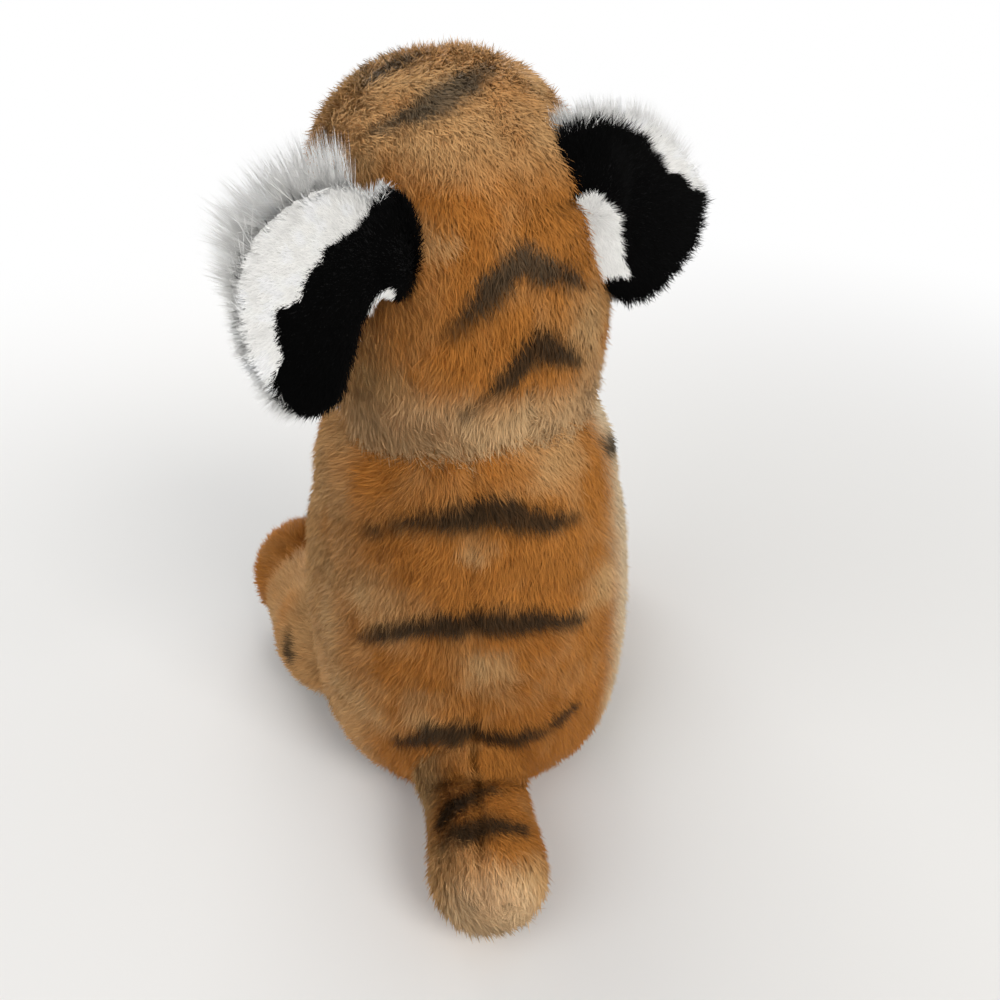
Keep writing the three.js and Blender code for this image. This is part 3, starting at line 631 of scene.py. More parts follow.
def skin_material():
    """The knitted backing under the pile."""
    material, tree, shader = new_material("backing", {"Roughness": 0.95})
    knit_scale, knit_depth = 900, 0.4 * MM
    darkest, shade_range = 0.65, 0.3
    grain = grain_bump(tree, shader, knit_scale, knit_depth, 0.5)
    shade = math_node(tree, "MULTIPLY_ADD", grain, shade_range, darkest)
    coat = attribute_node(tree, "coat")
    tree.links.new(scaled_colour(tree, coat.outputs["Color"], shade), shader.inputs["Base Color"])
    return material


def plain_material(name, colour, roughness, grain_scale=0, coat=0.0):
    """One colour, with a fine grain where its scale is given."""
    material, tree, shader = new_material(name, {
        "Base Color": (*colour, 1),
        "Roughness": roughness,
        "Coat Weight": coat,
    })
    if grain_scale:
        grain_bump(tree, shader, grain_scale, 0.3 * MM, 0.6)
    return material


def nose_material():
    """Dusty pink plastic with a thin polish."""
    return plain_material("nose_plastic", srgb(168, 112, 104), 0.4, grain_scale=700, coat=0.2)


def mouth_material():
    """Dark embroidery thread."""
    return plain_material("mouth_thread", srgb(38, 28, 25), 0.75, grain_scale=1500)


def neck_material():
    """Brown sewing thread."""
    return plain_material("neck_thread", srgb(120, 88, 58), 0.8, grain_scale=1500)


def washer_material():
    """Pale plastic of the lock washers."""
    return plain_material("washer_plastic", srgb(220, 220, 214), 0.45)


def eye_material():
    """A black pupil in an amber iris with a dark rim, under a clear polish."""
    material, tree, shader = new_material("eye_plastic", {
        "Roughness": 0.12,
        "Coat Weight": 0.6,
        "Coat Roughness": 0.04,
    })
    ramp = tree.nodes.new("ShaderNodeValToRGB")
    tree.links.new(attribute_node(tree, "ring").outputs["Fac"], ramp.inputs[0])
    black, amber, brown = srgb(6, 5, 5), srgb(140, 84, 26), srgb(96, 52, 14)
    stops = [(0, black), (0.5, black), (0.56, amber), (0.86, brown), (0.93, black)]
    elements = ramp.color_ramp.elements
    while len(elements) < len(stops):
        elements.new(0.5)
    for element, (place, colour) in zip(elements, stops):
        element.position, element.color = place, (*colour, 1)
    tree.links.new(ramp.outputs[0], shader.inputs["Base Color"])
    return material


def seen_directly(tree):
    """1 where the camera, or a mirrored or clear surface, looks straight at the surface."""
    path = tree.nodes.new("ShaderNodeLightPath")
    direct = math_node(tree, "ADD", path.outputs["Is Camera Ray"], path.outputs["Is Glossy Ray"])
    direct = math_node(tree, "ADD", direct, path.outputs["Is Transmission Ray"])
    direct.node.use_clamp = True
    return direct


def floor_material():
    """A pale floor that keeps the toy's shadow and turns into a white background further out."""
    values = {"Base Color": (*srgb(232, 231, 229), 1), "Roughness": 0.9}
    material, tree, shader = new_material("floor", values)
    coordinates = tree.nodes.new("ShaderNodeTexCoord")
    away = tree.nodes.new("ShaderNodeVectorMath")
    away.operation = "LENGTH"
    tree.links.new(coordinates.outputs["Object"], away.inputs[0])
    fade = tree.nodes.new("ShaderNodeMapRange")
    fade.interpolation_type = "SMOOTHSTEP"
    for socket, distance in zip(("From Min", "From Max"), FLOOR_FADE):
        fade.inputs[socket].default_value = distance
    tree.links.new(away.outputs["Value"], fade.inputs["Value"])
    white = tree.nodes.new("ShaderNodeEmission")
    choice = tree.nodes.new("ShaderNodeMixShader")
    tree.links.new(math_node(tree, "MULTIPLY", fade.outputs[0], seen_directly(tree)), choice.inputs[0])
    tree.links.new(shader.outputs[0], choice.inputs[1])
    tree.links.new(white.outputs[0], choice.inputs[2])
    tree.links.new(choice.outputs[0], tree.nodes["Material Output"].inputs[0])
    return material


def material_named(name):
    """The scene's material of that name, made when it is first asked for."""
    makers = {
        "pile": pile_material,
        "backing": skin_material,
        "eye_plastic": eye_material,
        "nose_plastic": nose_material,
        "mouth_thread": mouth_material,
        "neck_thread": neck_material,
        "washer_plastic": washer_material,
        "floor": floor_material,
    }
    return bpy.data.materials.get(name) or makers[name]()


# The pile


def strand_template():
    """One strand with a unit width and length: two slivers that bend back and meet in a tip."""
    corners = [(-0.5, 0, 0), (0.5, 0, 0), (0.35, -0.04, 0.55), (0, -0.16, 1)]
    strand = new_object("strand_template", (corners, [(0, 2, 1), (0, 3, 2)]))
    put(strand.data, "rise", "FLOAT", [0, 0, 0.55, 1])
    return strand


def pile_tree():
    """The node tree that grows strands on a skin, leaning the way that its comb attribute says."""
    tree = bpy.data.node_groups.new("Pile", "GeometryNodeTree")
    face = tree.interface
    face.new_socket("Geometry", in_out="INPUT", socket_type="NodeSocketGeometry")
    face.new_socket("Geometry", in_out="OUTPUT", socket_type="NodeSocketGeometry")
    for name in ("Density", "Length", "Width", "Lean", "Tangle", "Bend"):
        face.new_socket(name, in_out="INPUT", socket_type="NodeSocketFloat")
    face.new_socket("Seed", in_out="INPUT", socket_type="NodeSocketInt")
    face.new_socket("Strand", in_out="INPUT", socket_type="NodeSocketObject")
    face.new_socket("Material", in_out="INPUT", socket_type="NodeSocketMaterial")

    def node(kind, **settings):
        made = tree.nodes.new(kind)
        for key, value in settings.items():
            setattr(made, key, value)
        return made

    def link(source, target):
        tree.links.new(source, target)

    def named(name, kind):
        made = node("GeometryNodeInputNamedAttribute", data_type=kind)
        made.inputs["Name"].default_value = name
        return made.outputs["Attribute"]

    def arithmetic(operation, first, second):
        return math_node(tree, operation, first, second)

    def vector(operation, first, second, plug=1):
        made = node("ShaderNodeVectorMath", operation=operation)
        link(first, made.inputs[0])
        link(second, made.inputs[plug])
        return made.outputs[0]

    def random(limits, extra):
        """A random number for each strand. Each use has its own extra to the seed."""
        made = node("FunctionNodeRandomValue", data_type="FLOAT")
        made.inputs[2].default_value, made.inputs[3].default_value = limits
        link(arithmetic("ADD", given["Seed"], extra), made.inputs["Seed"])
        return made.outputs[1]

    def stored(geometry, name, kind, value):
        made = node("GeometryNodeStoreNamedAttribute", data_type=kind, domain="POINT")
        made.inputs["Name"].default_value = name
        link(geometry, made.inputs["Geometry"])
        link(value, made.inputs["Value"])
        return made.outputs["Geometry"]

    turn_range, length_range, width_range = (-0.7, 0.7), (0.65, 1.1), (0.7, 1.2)
    given = node("NodeGroupInput").outputs
    spread = node("GeometryNodeDistributePointsOnFaces", distribute_method="RANDOM")
    link(given["Geometry"], spread.inputs["Mesh"])
    link(arithmetic("MULTIPLY", given["Density"], named("cover", "FLOAT")), spread.inputs["Density"])
    link(given["Seed"], spread.inputs["Seed"])
    place = node("GeometryNodeInputPosition").outputs[0]
    normal = spread.outputs["Normal"]

    scatter = node("FunctionNodeRandomValue", data_type="FLOAT_VECTOR")
    scatter.inputs[0].default_value, scatter.inputs[1].default_value = (-1,) * 3, (1,) * 3
    link(given["Seed"], scatter.inputs["Seed"])
    upright = vector("SCALE", normal, arithmetic("SUBTRACT", 1, given["Lean"]), "Scale")
    lean = vector("SCALE", named("comb", "FLOAT_VECTOR"), given["Lean"], "Scale")
    mess = vector("SCALE", scatter.outputs[0], given["Tangle"], "Scale")
    way = vector("ADD", vector("ADD", upright, lean), mess)

    along = node("FunctionNodeAlignRotationToVector", axis="Z")
    link(way, along.inputs["Vector"])
    facing = node("FunctionNodeAlignRotationToVector", axis="Y", pivot_axis="Z")
    link(along.outputs[0], facing.inputs["Rotation"])
    link(normal, facing.inputs["Vector"])
    twist = node("FunctionNodeEulerToRotation")
    spin = node("ShaderNodeCombineXYZ")
    link(random(turn_range, 11), spin.inputs["Z"])
    link(spin.outputs[0], twist.inputs[0])
    rotation = node("FunctionNodeRotateRotation", rotation_space="LOCAL")
    link(facing.outputs[0], rotation.inputs[0])
    link(twist.outputs[0], rotation.inputs[1])

    share = arithmetic("MULTIPLY", named("pile", "FLOAT"), random(length_range, 23))
    length = arithmetic("MULTIPLY", given["Length"], share)
    size = node("ShaderNodeCombineXYZ")
    link(arithmetic("MULTIPLY", given["Width"], random(width_range, 37)), size.inputs["X"])
    link(arithmetic("MULTIPLY", length, given["Bend"]), size.inputs["Y"])
    link(length, size.inputs["Z"])

    points = stored(spread.outputs["Points"], "root", "FLOAT_VECTOR", place)
    points = stored(points, "lie", "FLOAT_VECTOR", normal)
    points = stored(points, "tone", "FLOAT", random((0, 1), 51))
    strand = node("GeometryNodeObjectInfo", transform_space="ORIGINAL")
    link(given["Strand"], strand.inputs["Object"])
    grown = node("GeometryNodeInstanceOnPoints")
    link(points, grown.inputs["Points"])
    link(strand.outputs["Geometry"], grown.inputs["Instance"])
    link(rotation.outputs[0], grown.inputs["Rotation"])
    link(size.outputs[0], grown.inputs["Scale"])
    real = node("GeometryNodeRealizeInstances")
    link(grown.outputs[0], real.inputs[0])
    finish = node("GeometryNodeSetMaterial")
    link(real.outputs[0], finish.inputs["Geometry"])
    link(given["Material"], finish.inputs["Material"])
    link(finish.outputs[0], node("NodeGroupOutput").inputs[0])
    return tree


def node_modifier(obj, tree, **values):
    """Adds a tree's modifier and sets each named input by its socket's identifier."""
    modifier = obj.modifiers.new(tree.name, "NODES")
    modifier.node_group = tree
    for item in tree.interface.items_tree:
        if item.in_out == "INPUT" and item.name in values:
            modifier[item.identifier] = values[item.name]


def painted(mesh, colours):
    """Stores a colour for each vertex."""
    put(mesh, "coat", "FLOAT_COLOR", np.hstack([colours, np.ones((len(colours), 1))]))


def grow(skin, coat, seed, length=1.0, lean=0.64, tangle=0.3, density=1.0, width=1.0, bend=1.0,
         light=(0, 0, 0)):
    """Grows a pile on a skin and returns it as a plain mesh.

    light turns the shading of fine hair towards a direction, because light passes through it.
    """
    settings = bpy.context.scene.tiger
    fewer, wider = ((1, 1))
    on_square_metre = settings.pile_density * 1e6 * density
    tree = bpy.data.node_groups.get("Pile") or pile_tree()
    strand = bpy.data.objects.get("strand_template") or strand_template()
    strand.hide_render = True
    fur = bpy.data.objects.new(skin.name.replace("_skin", "_pile"), skin.data.copy())
    bpy.context.scene.collection.objects.link(fur)
    node_modifier(
        fur,
        tree,
        Density=on_square_metre * fewer,
        Length=settings.pile_length * length,
        Width=settings.pile_width * width * wider,
        Lean=lean,
        Tangle=tangle,
        Bend=bend,
        Seed=settings.seed + seed,
        Strand=strand,
        Material=material_named("pile"),
    )
    baked(fur)
    mesh = fur.data
    points = points_of(mesh)
    points[:, 2] = np.maximum(points[:, 2], PILE_FLOOR)
    set_points(mesh, points)
    each = len(strand.data.vertices)
    root, lie = read(mesh, "root", 3)[::each], read(mesh, "lie", 3)[::each]
    tips = root + lie * settings.pile_depth
    # Each tuft a little lighter or darker: painted light and shade of the nap as it catches the light.
    tufts = 1 + 0.11 * ripple(root, 2.5 * MM, 8) + 0.07 * ripple(root, 9 * MM, 9)
    painted(mesh, np.repeat(np.clip(coat(tips, lie) * tufts[:, None], 0, 0.95), each, axis=0))
    turns = np.random.default_rng(settings.seed + seed).normal(0, 0.16, lie.shape)
    shading = np.repeat(unit(lie + turns + np.array(light)), each, axis=0)
    put(mesh, "lie", "FLOAT_VECTOR", shading)
    mesh.normals_split_custom_set_from_vertices(shading.tolist())
    for name in ("comb", "cover", "pile", "root"):
        mesh.attributes.remove(mesh.attributes[name])
    return fur


# Skins


def make_skin(name, form, coat, comb, voxel=2.0, smooth=10, depth=None, bumps=0.5, grooves=None,
              pile=None, cover=None):
    """A backing skin: the form melted together, sunk by the pile's depth and softly uneven.

    voxel and bumps are in millimetres, depth in metres, and smooth is a number of passes.
    grooves, pile and cover take the points and their normals and give each point's seam depth in
    metres, pile length share and pile density share. comb gives the way that the pile lies.
    """
    settings = bpy.context.scene.tiger
    skin = new_object(name, form)
    melt = skin.modifiers.new("melt", "REMESH")
    melt.mode, melt.voxel_size = "VOXEL", voxel * MM
    soften = skin.modifiers.new("soften", "SMOOTH")
    soften.factor, soften.iterations = 0.5, smooth
    baked(skin)
    mesh = skin.data
    points, normals = points_of(mesh), normals_of(mesh)
    sunk = settings.pile_depth if depth is None else depth
    uneven = ripple(points, 18 * MM, 4) * bumps * MM
    points = points - normals * sunk + normals * uneven[:, None]
    if grooves:
        points = points - normals * grooves(points, normals)[:, None]
    points[:, 2] = np.maximum(points[:, 2], SKIN_FLOOR)
    set_points(mesh, points)
    normals = normals_of(mesh)
    lay = np.array(comb(points), float) + wisps(points)
    lay = lay - normals * (lay * normals).sum(1, keepdims=True)
    put(mesh, "comb", "FLOAT_VECTOR", unit(lay))
    put(mesh, "pile", "FLOAT", pile(points, normals) if pile else np.ones(len(points)))
    off_floor = 1 - step(-normals[:, 2], 0.75, 0.95) * (points[:, 2] < 4 * MM)
    put(mesh, "cover", "FLOAT", off_floor * (cover(points, normals) if cover else 1))
    painted(mesh, coat(points + normals * sunk, normals))
    mesh.materials.clear()
    mesh.materials.append(material_named("backing"))
    return skin


def wander(points, scale):
    """Smooth random directions with features of that size."""
    return np.stack([ripple(points, scale, shift) for shift in (11, 23, 37)], 1)


def wisps(points):
    """Small turns of the pile, which make it lie in soft tufts and brushed patches."""
    return 0.4 * wander(points, 4 * MM) + 0.4 * wander(points, 11 * MM) + 0.45 * wander(points, 30 * MM)


def one_way(way):
    """A comb that lays all pile in one direction."""
    return lambda points: np.tile(np.array(way), (len(points), 1))


def even(share):
    """A pile length or density that is the same share everywhere."""
    return lambda points, normals: np.full(len(points), share)


def keep(obj, body, replaces=()):
    """Ties a finished piece to its body, material slot, replaced solids and stuffing."""
    if replaces:
        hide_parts(*replaces)
    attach(obj, body)


# Coats: the colour of the pile at each place


def dye(name):
    """One of the coat's colours, as the sidebar has it."""
    return np.array(getattr(bpy.context.scene.tiger, name))


def patches(points, places):
    """How much each point, in millimetres, lies in soft round patches, each a place and a radius."""
    found = np.zeros(len(points))
    brushed = points + 3.5 * wander(points, 7) + 1.5 * wander(points, 2.5)
    for place, radius in places:
        away = np.linalg.norm(brushed - np.array(place, float), axis=1)
        found = np.maximum(found, 1 - step(away, 0.1 * radius, 1.1 * radius))
    return found


def ground(points, pale):
    """Tan pile, paler by a share, with the cloudy marks where the pile has been brushed about."""
    clouds = 0.3 * ripple(points, 14 * MM, 6) + 0.22 * ripple(points, 5 * MM, 7)
    return mixed(dye("tan"), dye("pale_tan"), np.clip(pale + clouds, 0, 1.15))


def seam_shade(across, width, depth):
    """The brightness left in the fold of a seam, from the distance across it."""
    return (1 - depth * ridge(across, width))[:, None]


def body_coat(points, normals):
    """Tan back, paler flanks, cream belly and stripes. Angles are in degrees round from the back."""
    p = points / MM
    round_left = np.degrees(np.arctan2(p[:, 0], p[:, 1] - 4))
    left_flank = 0.8 * step(round_left, 28, 64)
    right_flank = step(-round_left, 50, 82)
    right_edge = step(-round_left, 52, 76) * (1 - 0.8 * step(-round_left, 84, 100))
    front = step(np.abs(round_left) + 6 * ripple(points, 9 * MM, 5), 112, 126)
    pale = np.maximum.reduce([left_flank, right_flank, 0.9 * patches(p, BODY_PALE)])
    colours = mixed(ground(points, pale), dye("cream"), front)
    colours = mixed(colours, dye("cream"), 0.8 * right_edge * (1 - front))
    colours = mixed(colours, dye("stripe"), dyed(p, BODY_STRIPES) * (1 - front))
    # Painted shade in the fold of the back seam, darkest low down.
    seam_shade_depth = 0.12 + 0.5 * (1 - step(p[:, 2], 44, 58))
    return colours * seam_shade(p[:, 0], 0.9, seam_shade_depth * (p[:, 1] > 0))


def head_coat(points, normals):
    """Tan head with a pale nape, sides and crown, white cheeks, chin and brows, and stripes."""
    p = in_head(points)
    x, y, z = np.abs(p[:, 0]), p[:, 1], p[:, 2]
    nape = (1 - step(z + 4 * ripple(points, 12 * MM, 6), 38, 54)) * step(y, -10, 10)
    sides = 0.7 * step(x, 30, 44)
    crown = 0.75 * step(z, 96, 112)
    cheek = step(-y, 8, 16) * (1 - step(z, 52, 66)) * step(x, 8, 14)
    chin = step(-y, 4, 12) * (1 - step(z, 36, 44))
    brow = (1 - step(np.hypot((x - 17) / 8, (z - 95) / 6), 0.8, 1.15)) * step(-y, 10, 20)
    pale = np.maximum.reduce([sides, crown, nape, 0.85 * patches(p, HEAD_PALE)])
    colours = mixed(ground(points, pale), dye("cream"), 0.2 * nape)
    colours = mixed(colours, dye("white"), np.maximum.reduce([cheek, chin, brow]))
    faded = mixed(dye("stripe"), dye("cream"), 0.1 * step(z, 60, 110))
    colours = mixed(colours, faded, dyed(p, HEAD_STRIPES))
    # Painted shade in the dart's crease.
    return colours * (1 - 0.35 * head_dart(p))[:, None]


def head_dart(p):
    """How near each point of the head, in millimetres, is to the dart that runs to the right ear."""
    across = np.abs(p[:, 2] - 97 - 0.2 * p[:, 0])
    return (1 - step(across, 0, 2.6)) * step(-p[:, 0], 2, 14) * (p[:, 1] > 0)


def tail_coat(points, normals):
    """Tan tail with a pale tip and left side, two stripes, and shade in its fold and seam."""
    p = points / MM
    x, y, z = p.T
    tip = step(y + 0.6 * np.abs(x + 8) + 4 * ripple(points, 9 * MM, 6), 90, 103)
    colours = ground(points, np.maximum(tip, 0.9 * step(x, 8, 20)))
    # The tip is mixed towards cream, then brightened beyond its dye by painted light.
    colours = mixed(colours, dye("cream"), 0.35 * step(y, 94, 104)) * (1 + 0.22 * tip)[:, None]
    colours = mixed(colours, dye("stripe"), dyed(p, TAIL_STRIPES))
    # Painted shade in the fold where the tail leaves the seat, then along the seam.
    colours = colours * seam_shade(tail_crease(p), 1.6, 0.45 * (z > 22))
    seam_shade_depth = (0.3 + 0.3 * (y < 70)) * (z > 20) * (y < 96)
    return colours * seam_shade(x - 1, 0.9, seam_shade_depth)


def tail_crease(p):
    """How far each point, in millimetres, is behind the fold where the tail leaves the seat."""
    return p[:, 1] - 66.5 + p[:, 0] ** 2 / 45


def leg_coat(origin, turn):
    """Tan leg with a paler haunch and underside."""
    def coat(points, normals):
        p = to_local(points, origin, turn)
        haunch = step(p[:, 1], -36, -24)
        colours = mixed(ground(points, 0.75 * haunch), dye("cream"), 0.6 * step(-p[:, 2], 8, 18))
        return mixed(colours, dye("stripe"), dyed(p, LEG_STRIPES))
    return coat


def arm_coat(matrix):
    """Tan front leg with a cream paw."""
    turn_back = np.array(matrix.inverted())

    def coat(points, normals):
        p = (points @ turn_back[:3, :3].T + turn_back[:3, 3]) / MM
        paw = 0.85 * step(-p[:, 1], 44, 54)
        colours = mixed(ground(points, np.full(len(p), 0.2)), dye("cream"), paw)
        return mixed(colours, dye("stripe"), dyed(p, ARM_STRIPES))
    return coat


def plain_coat(name):
    return lambda points, normals: np.tile(dye(name), (len(points), 1))


def within(points, polygon):
    """Whether each two-number point is inside a polygon."""
    x, y = points.T
    inside = np.zeros(len(points), bool)
    for (ax, ay), (bx, by) in zip(polygon, polygon[1:] + polygon[:1]):
        crosses = (ay > y) != (by > y)
        at = ax + (y - ay) * (bx - ax) / ((by - ay) or 1e-9)
        inside ^= crosses & (x < at)
    return inside


def ear_back_coat(ear, hinge):
    """White ear back with its black patch, and the white spot in that."""
    def coat(points, normals):
        p = to_local(points, hinge, ear["turn"])
        flat = p[:, [0, 2]] + 0.8 * wander(points, 3 * MM)[:, :2]
        black = within(flat, ear["black"]) * (1.0 - within(flat, ear["spot"]))
        return mixed(dye("white"), dye("black"), black)
    return coat


# Pieces


def build_body():
    """The stuffed body, with its pile in four quarters."""
    front_from = -10 * MM

    def comb(points):
        x, y, z = (points / MM).T
        flow = 0.5 * np.tanh(x / 9) * step(y, 0, 30) * (1 - step(z, 60, 140))
        flow += 0.5 * step(x, 24, 44) * (y > 0)
        return np.stack([flow, 0 * flow, -np.ones(len(points))], 1)

    def grooves(points, normals):
        x, y, z = (points / MM).T
        back = ridge(x, 1.8) * (y > 0) * (1.2 + 0.8 * (1 - step(z, 40, 60)))
        belly = ridge(np.abs(x) - 38, 1.6) * (y < 9)
        return np.maximum(back, belly) * MM

    def pile(points, normals):
        x, y, z = (points / MM).T
        seam = ridge(x, 1.8) * (y > 0)
        return (0.5 + 0.5 * step(z, 1, 14)) * (1 - 0.25 * seam)

    def cover(points, normals):
        """No pile on the dome inside the head."""
        return 1 - step(points[:, 2], 0.156, 0.162)

    skin = make_skin("body_skin", ring_form(body_rows()), body_coat, comb, voxel=2.2, grooves=grooves,
                     pile=pile, cover=cover)
    quarters = {
        "left": lambda p: (p[:, 0] >= 0) & (p[:, 1] >= front_from),
        "right": lambda p: (p[:, 0] < 0) & (p[:, 1] >= front_from),
        "front_left": lambda p: (p[:, 0] >= 0) & (p[:, 1] < front_from),
        "front_right": lambda p: (p[:, 0] < 0) & (p[:, 1] < front_from),
    }
    grow_parts(skin, quarters, body_coat, "body")
    keep(skin, "body", (
        "body_cover_left", "body_cover_right", "belly_panel", "seat_panel", "body_fill", "pellet_pouch",
    ))


def grow_parts(skin, parts, coat, body):
    """Grows a large skin's pile as several pieces, each on the part that its test chooses."""
    whole = read(skin.data, "cover", 1).ravel()
    points = points_of(skin.data)
    stem = skin.name.replace("_skin", "")
    for seed, (name, chosen) in enumerate(parts.items(), SEEDS[body]):
        part = bpy.data.objects.new(f"{stem}_{name}_skin", skin.data.copy())
        put(part.data, "cover", "FLOAT", whole * chosen(points))
        keep(grow(part, coat, seed), body)
        bpy.data.objects.remove(part)


def head_matrix():
    return Matrix.Translation(NECK) @ Matrix.Rotation(HEAD_TURN, 4, "Z")


def face_point(x, z):
    """The point on the head's front at a place across and up, and its normal, in the head's frame."""
    table = np.array(head_rows())
    half_width, back, front = (np.interp(z, table[:, 0], table[:, k]) for k in (1, 2, 3))
    middle, half = (back - front) / 2, (back + front) / 2
    y = middle - half * math.sqrt(max(1 - (x / half_width) ** 2, 0))
    out = Vector((x / half_width**2, (y - middle) / half**2, 0)).normalized()
    return Vector((x, y, z)) * MM, out


def build_head():
    """The stuffed head, with its pile in two halves that meet on the crown seam."""
    def comb(points):
        """Down the back of the head, and outward from the nose on the face."""
        p = in_head(points)
        face = step(-p[:, 1], 22, 34)[:, None]
        outward = np.stack([p[:, 0], 0 * p[:, 0], p[:, 2] - 62], 1)
        down = np.tile([0.0, 60, -36], (len(p), 1))
        return turned(unit(outward * face + down * (1 - face)), HEAD_TURN)

    def grooves(points, normals):
        p = in_head(points)
        seam = ridge(p[:, 0], 1.6)
        dart = CREASE_DEPTH["ear_dart"] * head_dart(p)
        from_hollow = np.linalg.norm(p - np.array((-40, 20, 98)), axis=1)
        hollow = CREASE_DEPTH["head_side"] * ridge(from_hollow, 19)
        return (np.maximum(seam, dart) + hollow) * MM

    def pile(points, normals):
        p = in_head(points)
        face = step(-p[:, 1], 20, 32)
        nape = (1 - step(p[:, 2], 32, 46)) * step(p[:, 1], -10, 10)
        crown = step(p[:, 2], 98, 116)
        return (1 - 0.45 * face + 0.2 * nape - 0.08 * crown) * (1 - 0.2 * ridge(p[:, 0], 1.8))

    def cover(points, normals):
        """No pile under the eyes or inside the neck."""
        p = in_head(points)
        free = np.ones(len(p))
        for sign in SIDES.values():
            eye, _ = face_point(EYE_ASIDE * sign, EYE_HEIGHT)
            near = np.linalg.norm(p - np.array(eye) / MM, axis=1)
            free = free * step(near, EYE_RADIUS, EYE_RADIUS + 2)
        return free * step(p[:, 2], 15, 20)

    form = moved(ring_form(head_rows()), head_matrix())
    skin = make_skin("head_skin", form, head_coat, comb, grooves=grooves, pile=pile, cover=cover)
    halves = {
        "left": lambda points: in_head(points)[:, 0] >= 0,
        "right": lambda points: in_head(points)[:, 0] < 0,
    }
    grow_parts(skin, halves, head_coat, "head")
    keep(skin, "head", ("head_cover_left", "head_cover_right", "head_fill"))


def build_muzzle():
    """The padded muzzle with its nose and mouth."""
    matrix = head_matrix()
    form = merge(*(ball_form(middle, halves) for middle, halves in MUZZLE_LOBES))

    def comb(points):
        p = in_head(points)
        out = np.stack([p[:, 0], 14 + 0 * p[:, 0], (p[:, 2] - 64) * 0.8], 1)
        return turned(out, HEAD_TURN)

    def grooves(points, normals):
        """The cleft under the nose."""
        x, y, z = in_head(points).T
        return ridge(x, 2) * (z < 62) * (y < -45) * CREASE_DEPTH["muzzle"] * MM

    skin = make_skin("muzzle_skin", moved(form, matrix), plain_coat("white"), comb, voxel=1.4, smooth=8,
                     depth=1.6 * MM, grooves=grooves, pile=even(0.55))
    keep(grow(skin, plain_coat("white"), SEEDS["muzzle"]), "head")
    build_nose(matrix)
    build_mouth(skin, matrix)
    keep(skin, "head", ("muzzle_cover", "muzzle_fill"))


def build_nose(matrix):
    """A rounded three-cornered button nose with two shallow nostrils."""
    middle, halves = NOSE
    corners, faces = ball_form((0, 0, 0), halves, 48)
    shaped = []
    for x, y, z in corners:
        narrow = 0.62 + 0.38 * float(step(np.array(z / MM), -6, 3))
        nostril = 0.9 * math.exp(-(((abs(x) / MM - 4.2) / 1.6) ** 2 + ((z / MM + 1.2) / 1.5) ** 2))
        shaped.append((x * narrow, y + nostril * MM * (y < 0), z + 0.3 * MM))
    place = matrix @ Matrix.Translation(Vector(middle) * MM)
    nose = new_object("nose_button", moved((shaped, faces), place))
    nose.data.materials.append(material_named("nose_plastic"))
    keep(nose, "head", ("nose",))


def tube_form(path, radius, columns=10, closed=False):
    """A round tube along points given in metres."""
    path = [Vector(p) for p in path]
    count = len(path)
    corners, faces = [], []
    side = Vector((0.3, 0.2, 0.9))
    for i, point in enumerate(path):
        ahead = path[(i + 1) % count] if closed else path[min(i + 1, count - 1)]
        behind = path[i - 1] if closed or i else path[0]
        along = (ahead - behind).normalized()
        across = along.cross(side).normalized()
        side = across.cross(along).normalized()
        for k in range(columns):
            a = 2 * math.pi * k / columns
            corners.append(tuple(point + (across * math.cos(a) + side * math.sin(a)) * radius))
    for i in range(count if closed else count - 1):
        low, high = i * columns, (i + 1) % count * columns
        for k in range(columns):
            j = (k + 1) % columns
            faces.append((low + k, high + k, high + j, low + j))
    if not closed:
        faces.append(tuple(range(columns)))
        faces.append(tuple(reversed(range((count - 1) * columns, count * columns))))
    return corners, faces


def mouth_lines():
    """The mouth's lines, as places across and up: one down from the nose and one to each side."""
    lines = [[(0, MOUTH_TOP - MOUTH_DOWN_STITCH * k) for k in range(8)]]
    for sign in SIDES.values():
        line = []
        for k in range(12):
            sag = MOUTH_SAG * math.sin(math.pi * k / 11)
            line.append((sign * MOUTH_SIDE_STITCH * k, MOUTH_PART - sag + MOUTH_RISE * k))
        lines.append(line)
    return lines


def build_mouth(skin, matrix):
    """The stitched mouth, laid on the muzzle's skin."""
    tree = BVHTree.FromObject(skin, bpy.context.evaluated_depsgraph_get())
    inward = matrix.to_3x3() @ Vector((0, 1, 0))
    parts = []
    for line in mouth_lines():
        path = []
        for x, z in line:
            start = matrix @ (Vector((x, -90, z)) * MM)
            hit, normal, _, _ = tree.ray_cast(start, inward)
            if hit:
                path.append(hit + normal * MOUTH_LIFT * MM)
        parts.append(tube_form(path, MOUTH_RADIUS * MM))
    mouth = new_object("mouth_stitches", merge(*parts))
    mouth.data.materials.append(material_named("mouth_thread"))
    keep(mouth, "head")


def build_eyes():
    """The domed button eyes, and the finish of all the lock washers."""
    steps = 14
    profile = []
    for k in range(steps + 1):
        a = math.pi / 2 * k / steps
        profile.append((EYE_RADIUS * math.sin(a), EYE_BULGE * math.cos(a)))
    profile += [(EYE_RADIUS, -EYE_RIM), (0.1, -EYE_RIM)]
    corners, faces = lathe_form(profile, 48)
    ring = [math.hypot(x, z) / (EYE_RADIUS * MM) for x, y, z in corners]
    for side, sign in SIDES.items():
        at, out = face_point(EYE_ASIDE * sign, EYE_HEIGHT)
        turn = Vector((0, -1, 0)).rotation_difference(out).to_matrix().to_4x4()
        place = head_matrix() @ Matrix.Translation(at - out * EYE_SUNK * MM) @ turn
        eye = new_object(f"{side}_eye_button", moved((corners, faces), place))
        put(eye.data, "ring", "FLOAT", ring)
        eye.data.materials.append(material_named("eye_plastic"))
        keep(eye, "head", (f"{side}_eye",))
    for name in ("left_eye_washer", "right_eye_washer", "nose_washer"):
        washer = frame["nodes"][name]
        washer.data.materials.clear()
        washer.data.materials.append(material_named("washer_plastic"))


def build_ears():
    for side in SIDES:
        build_ear(side)


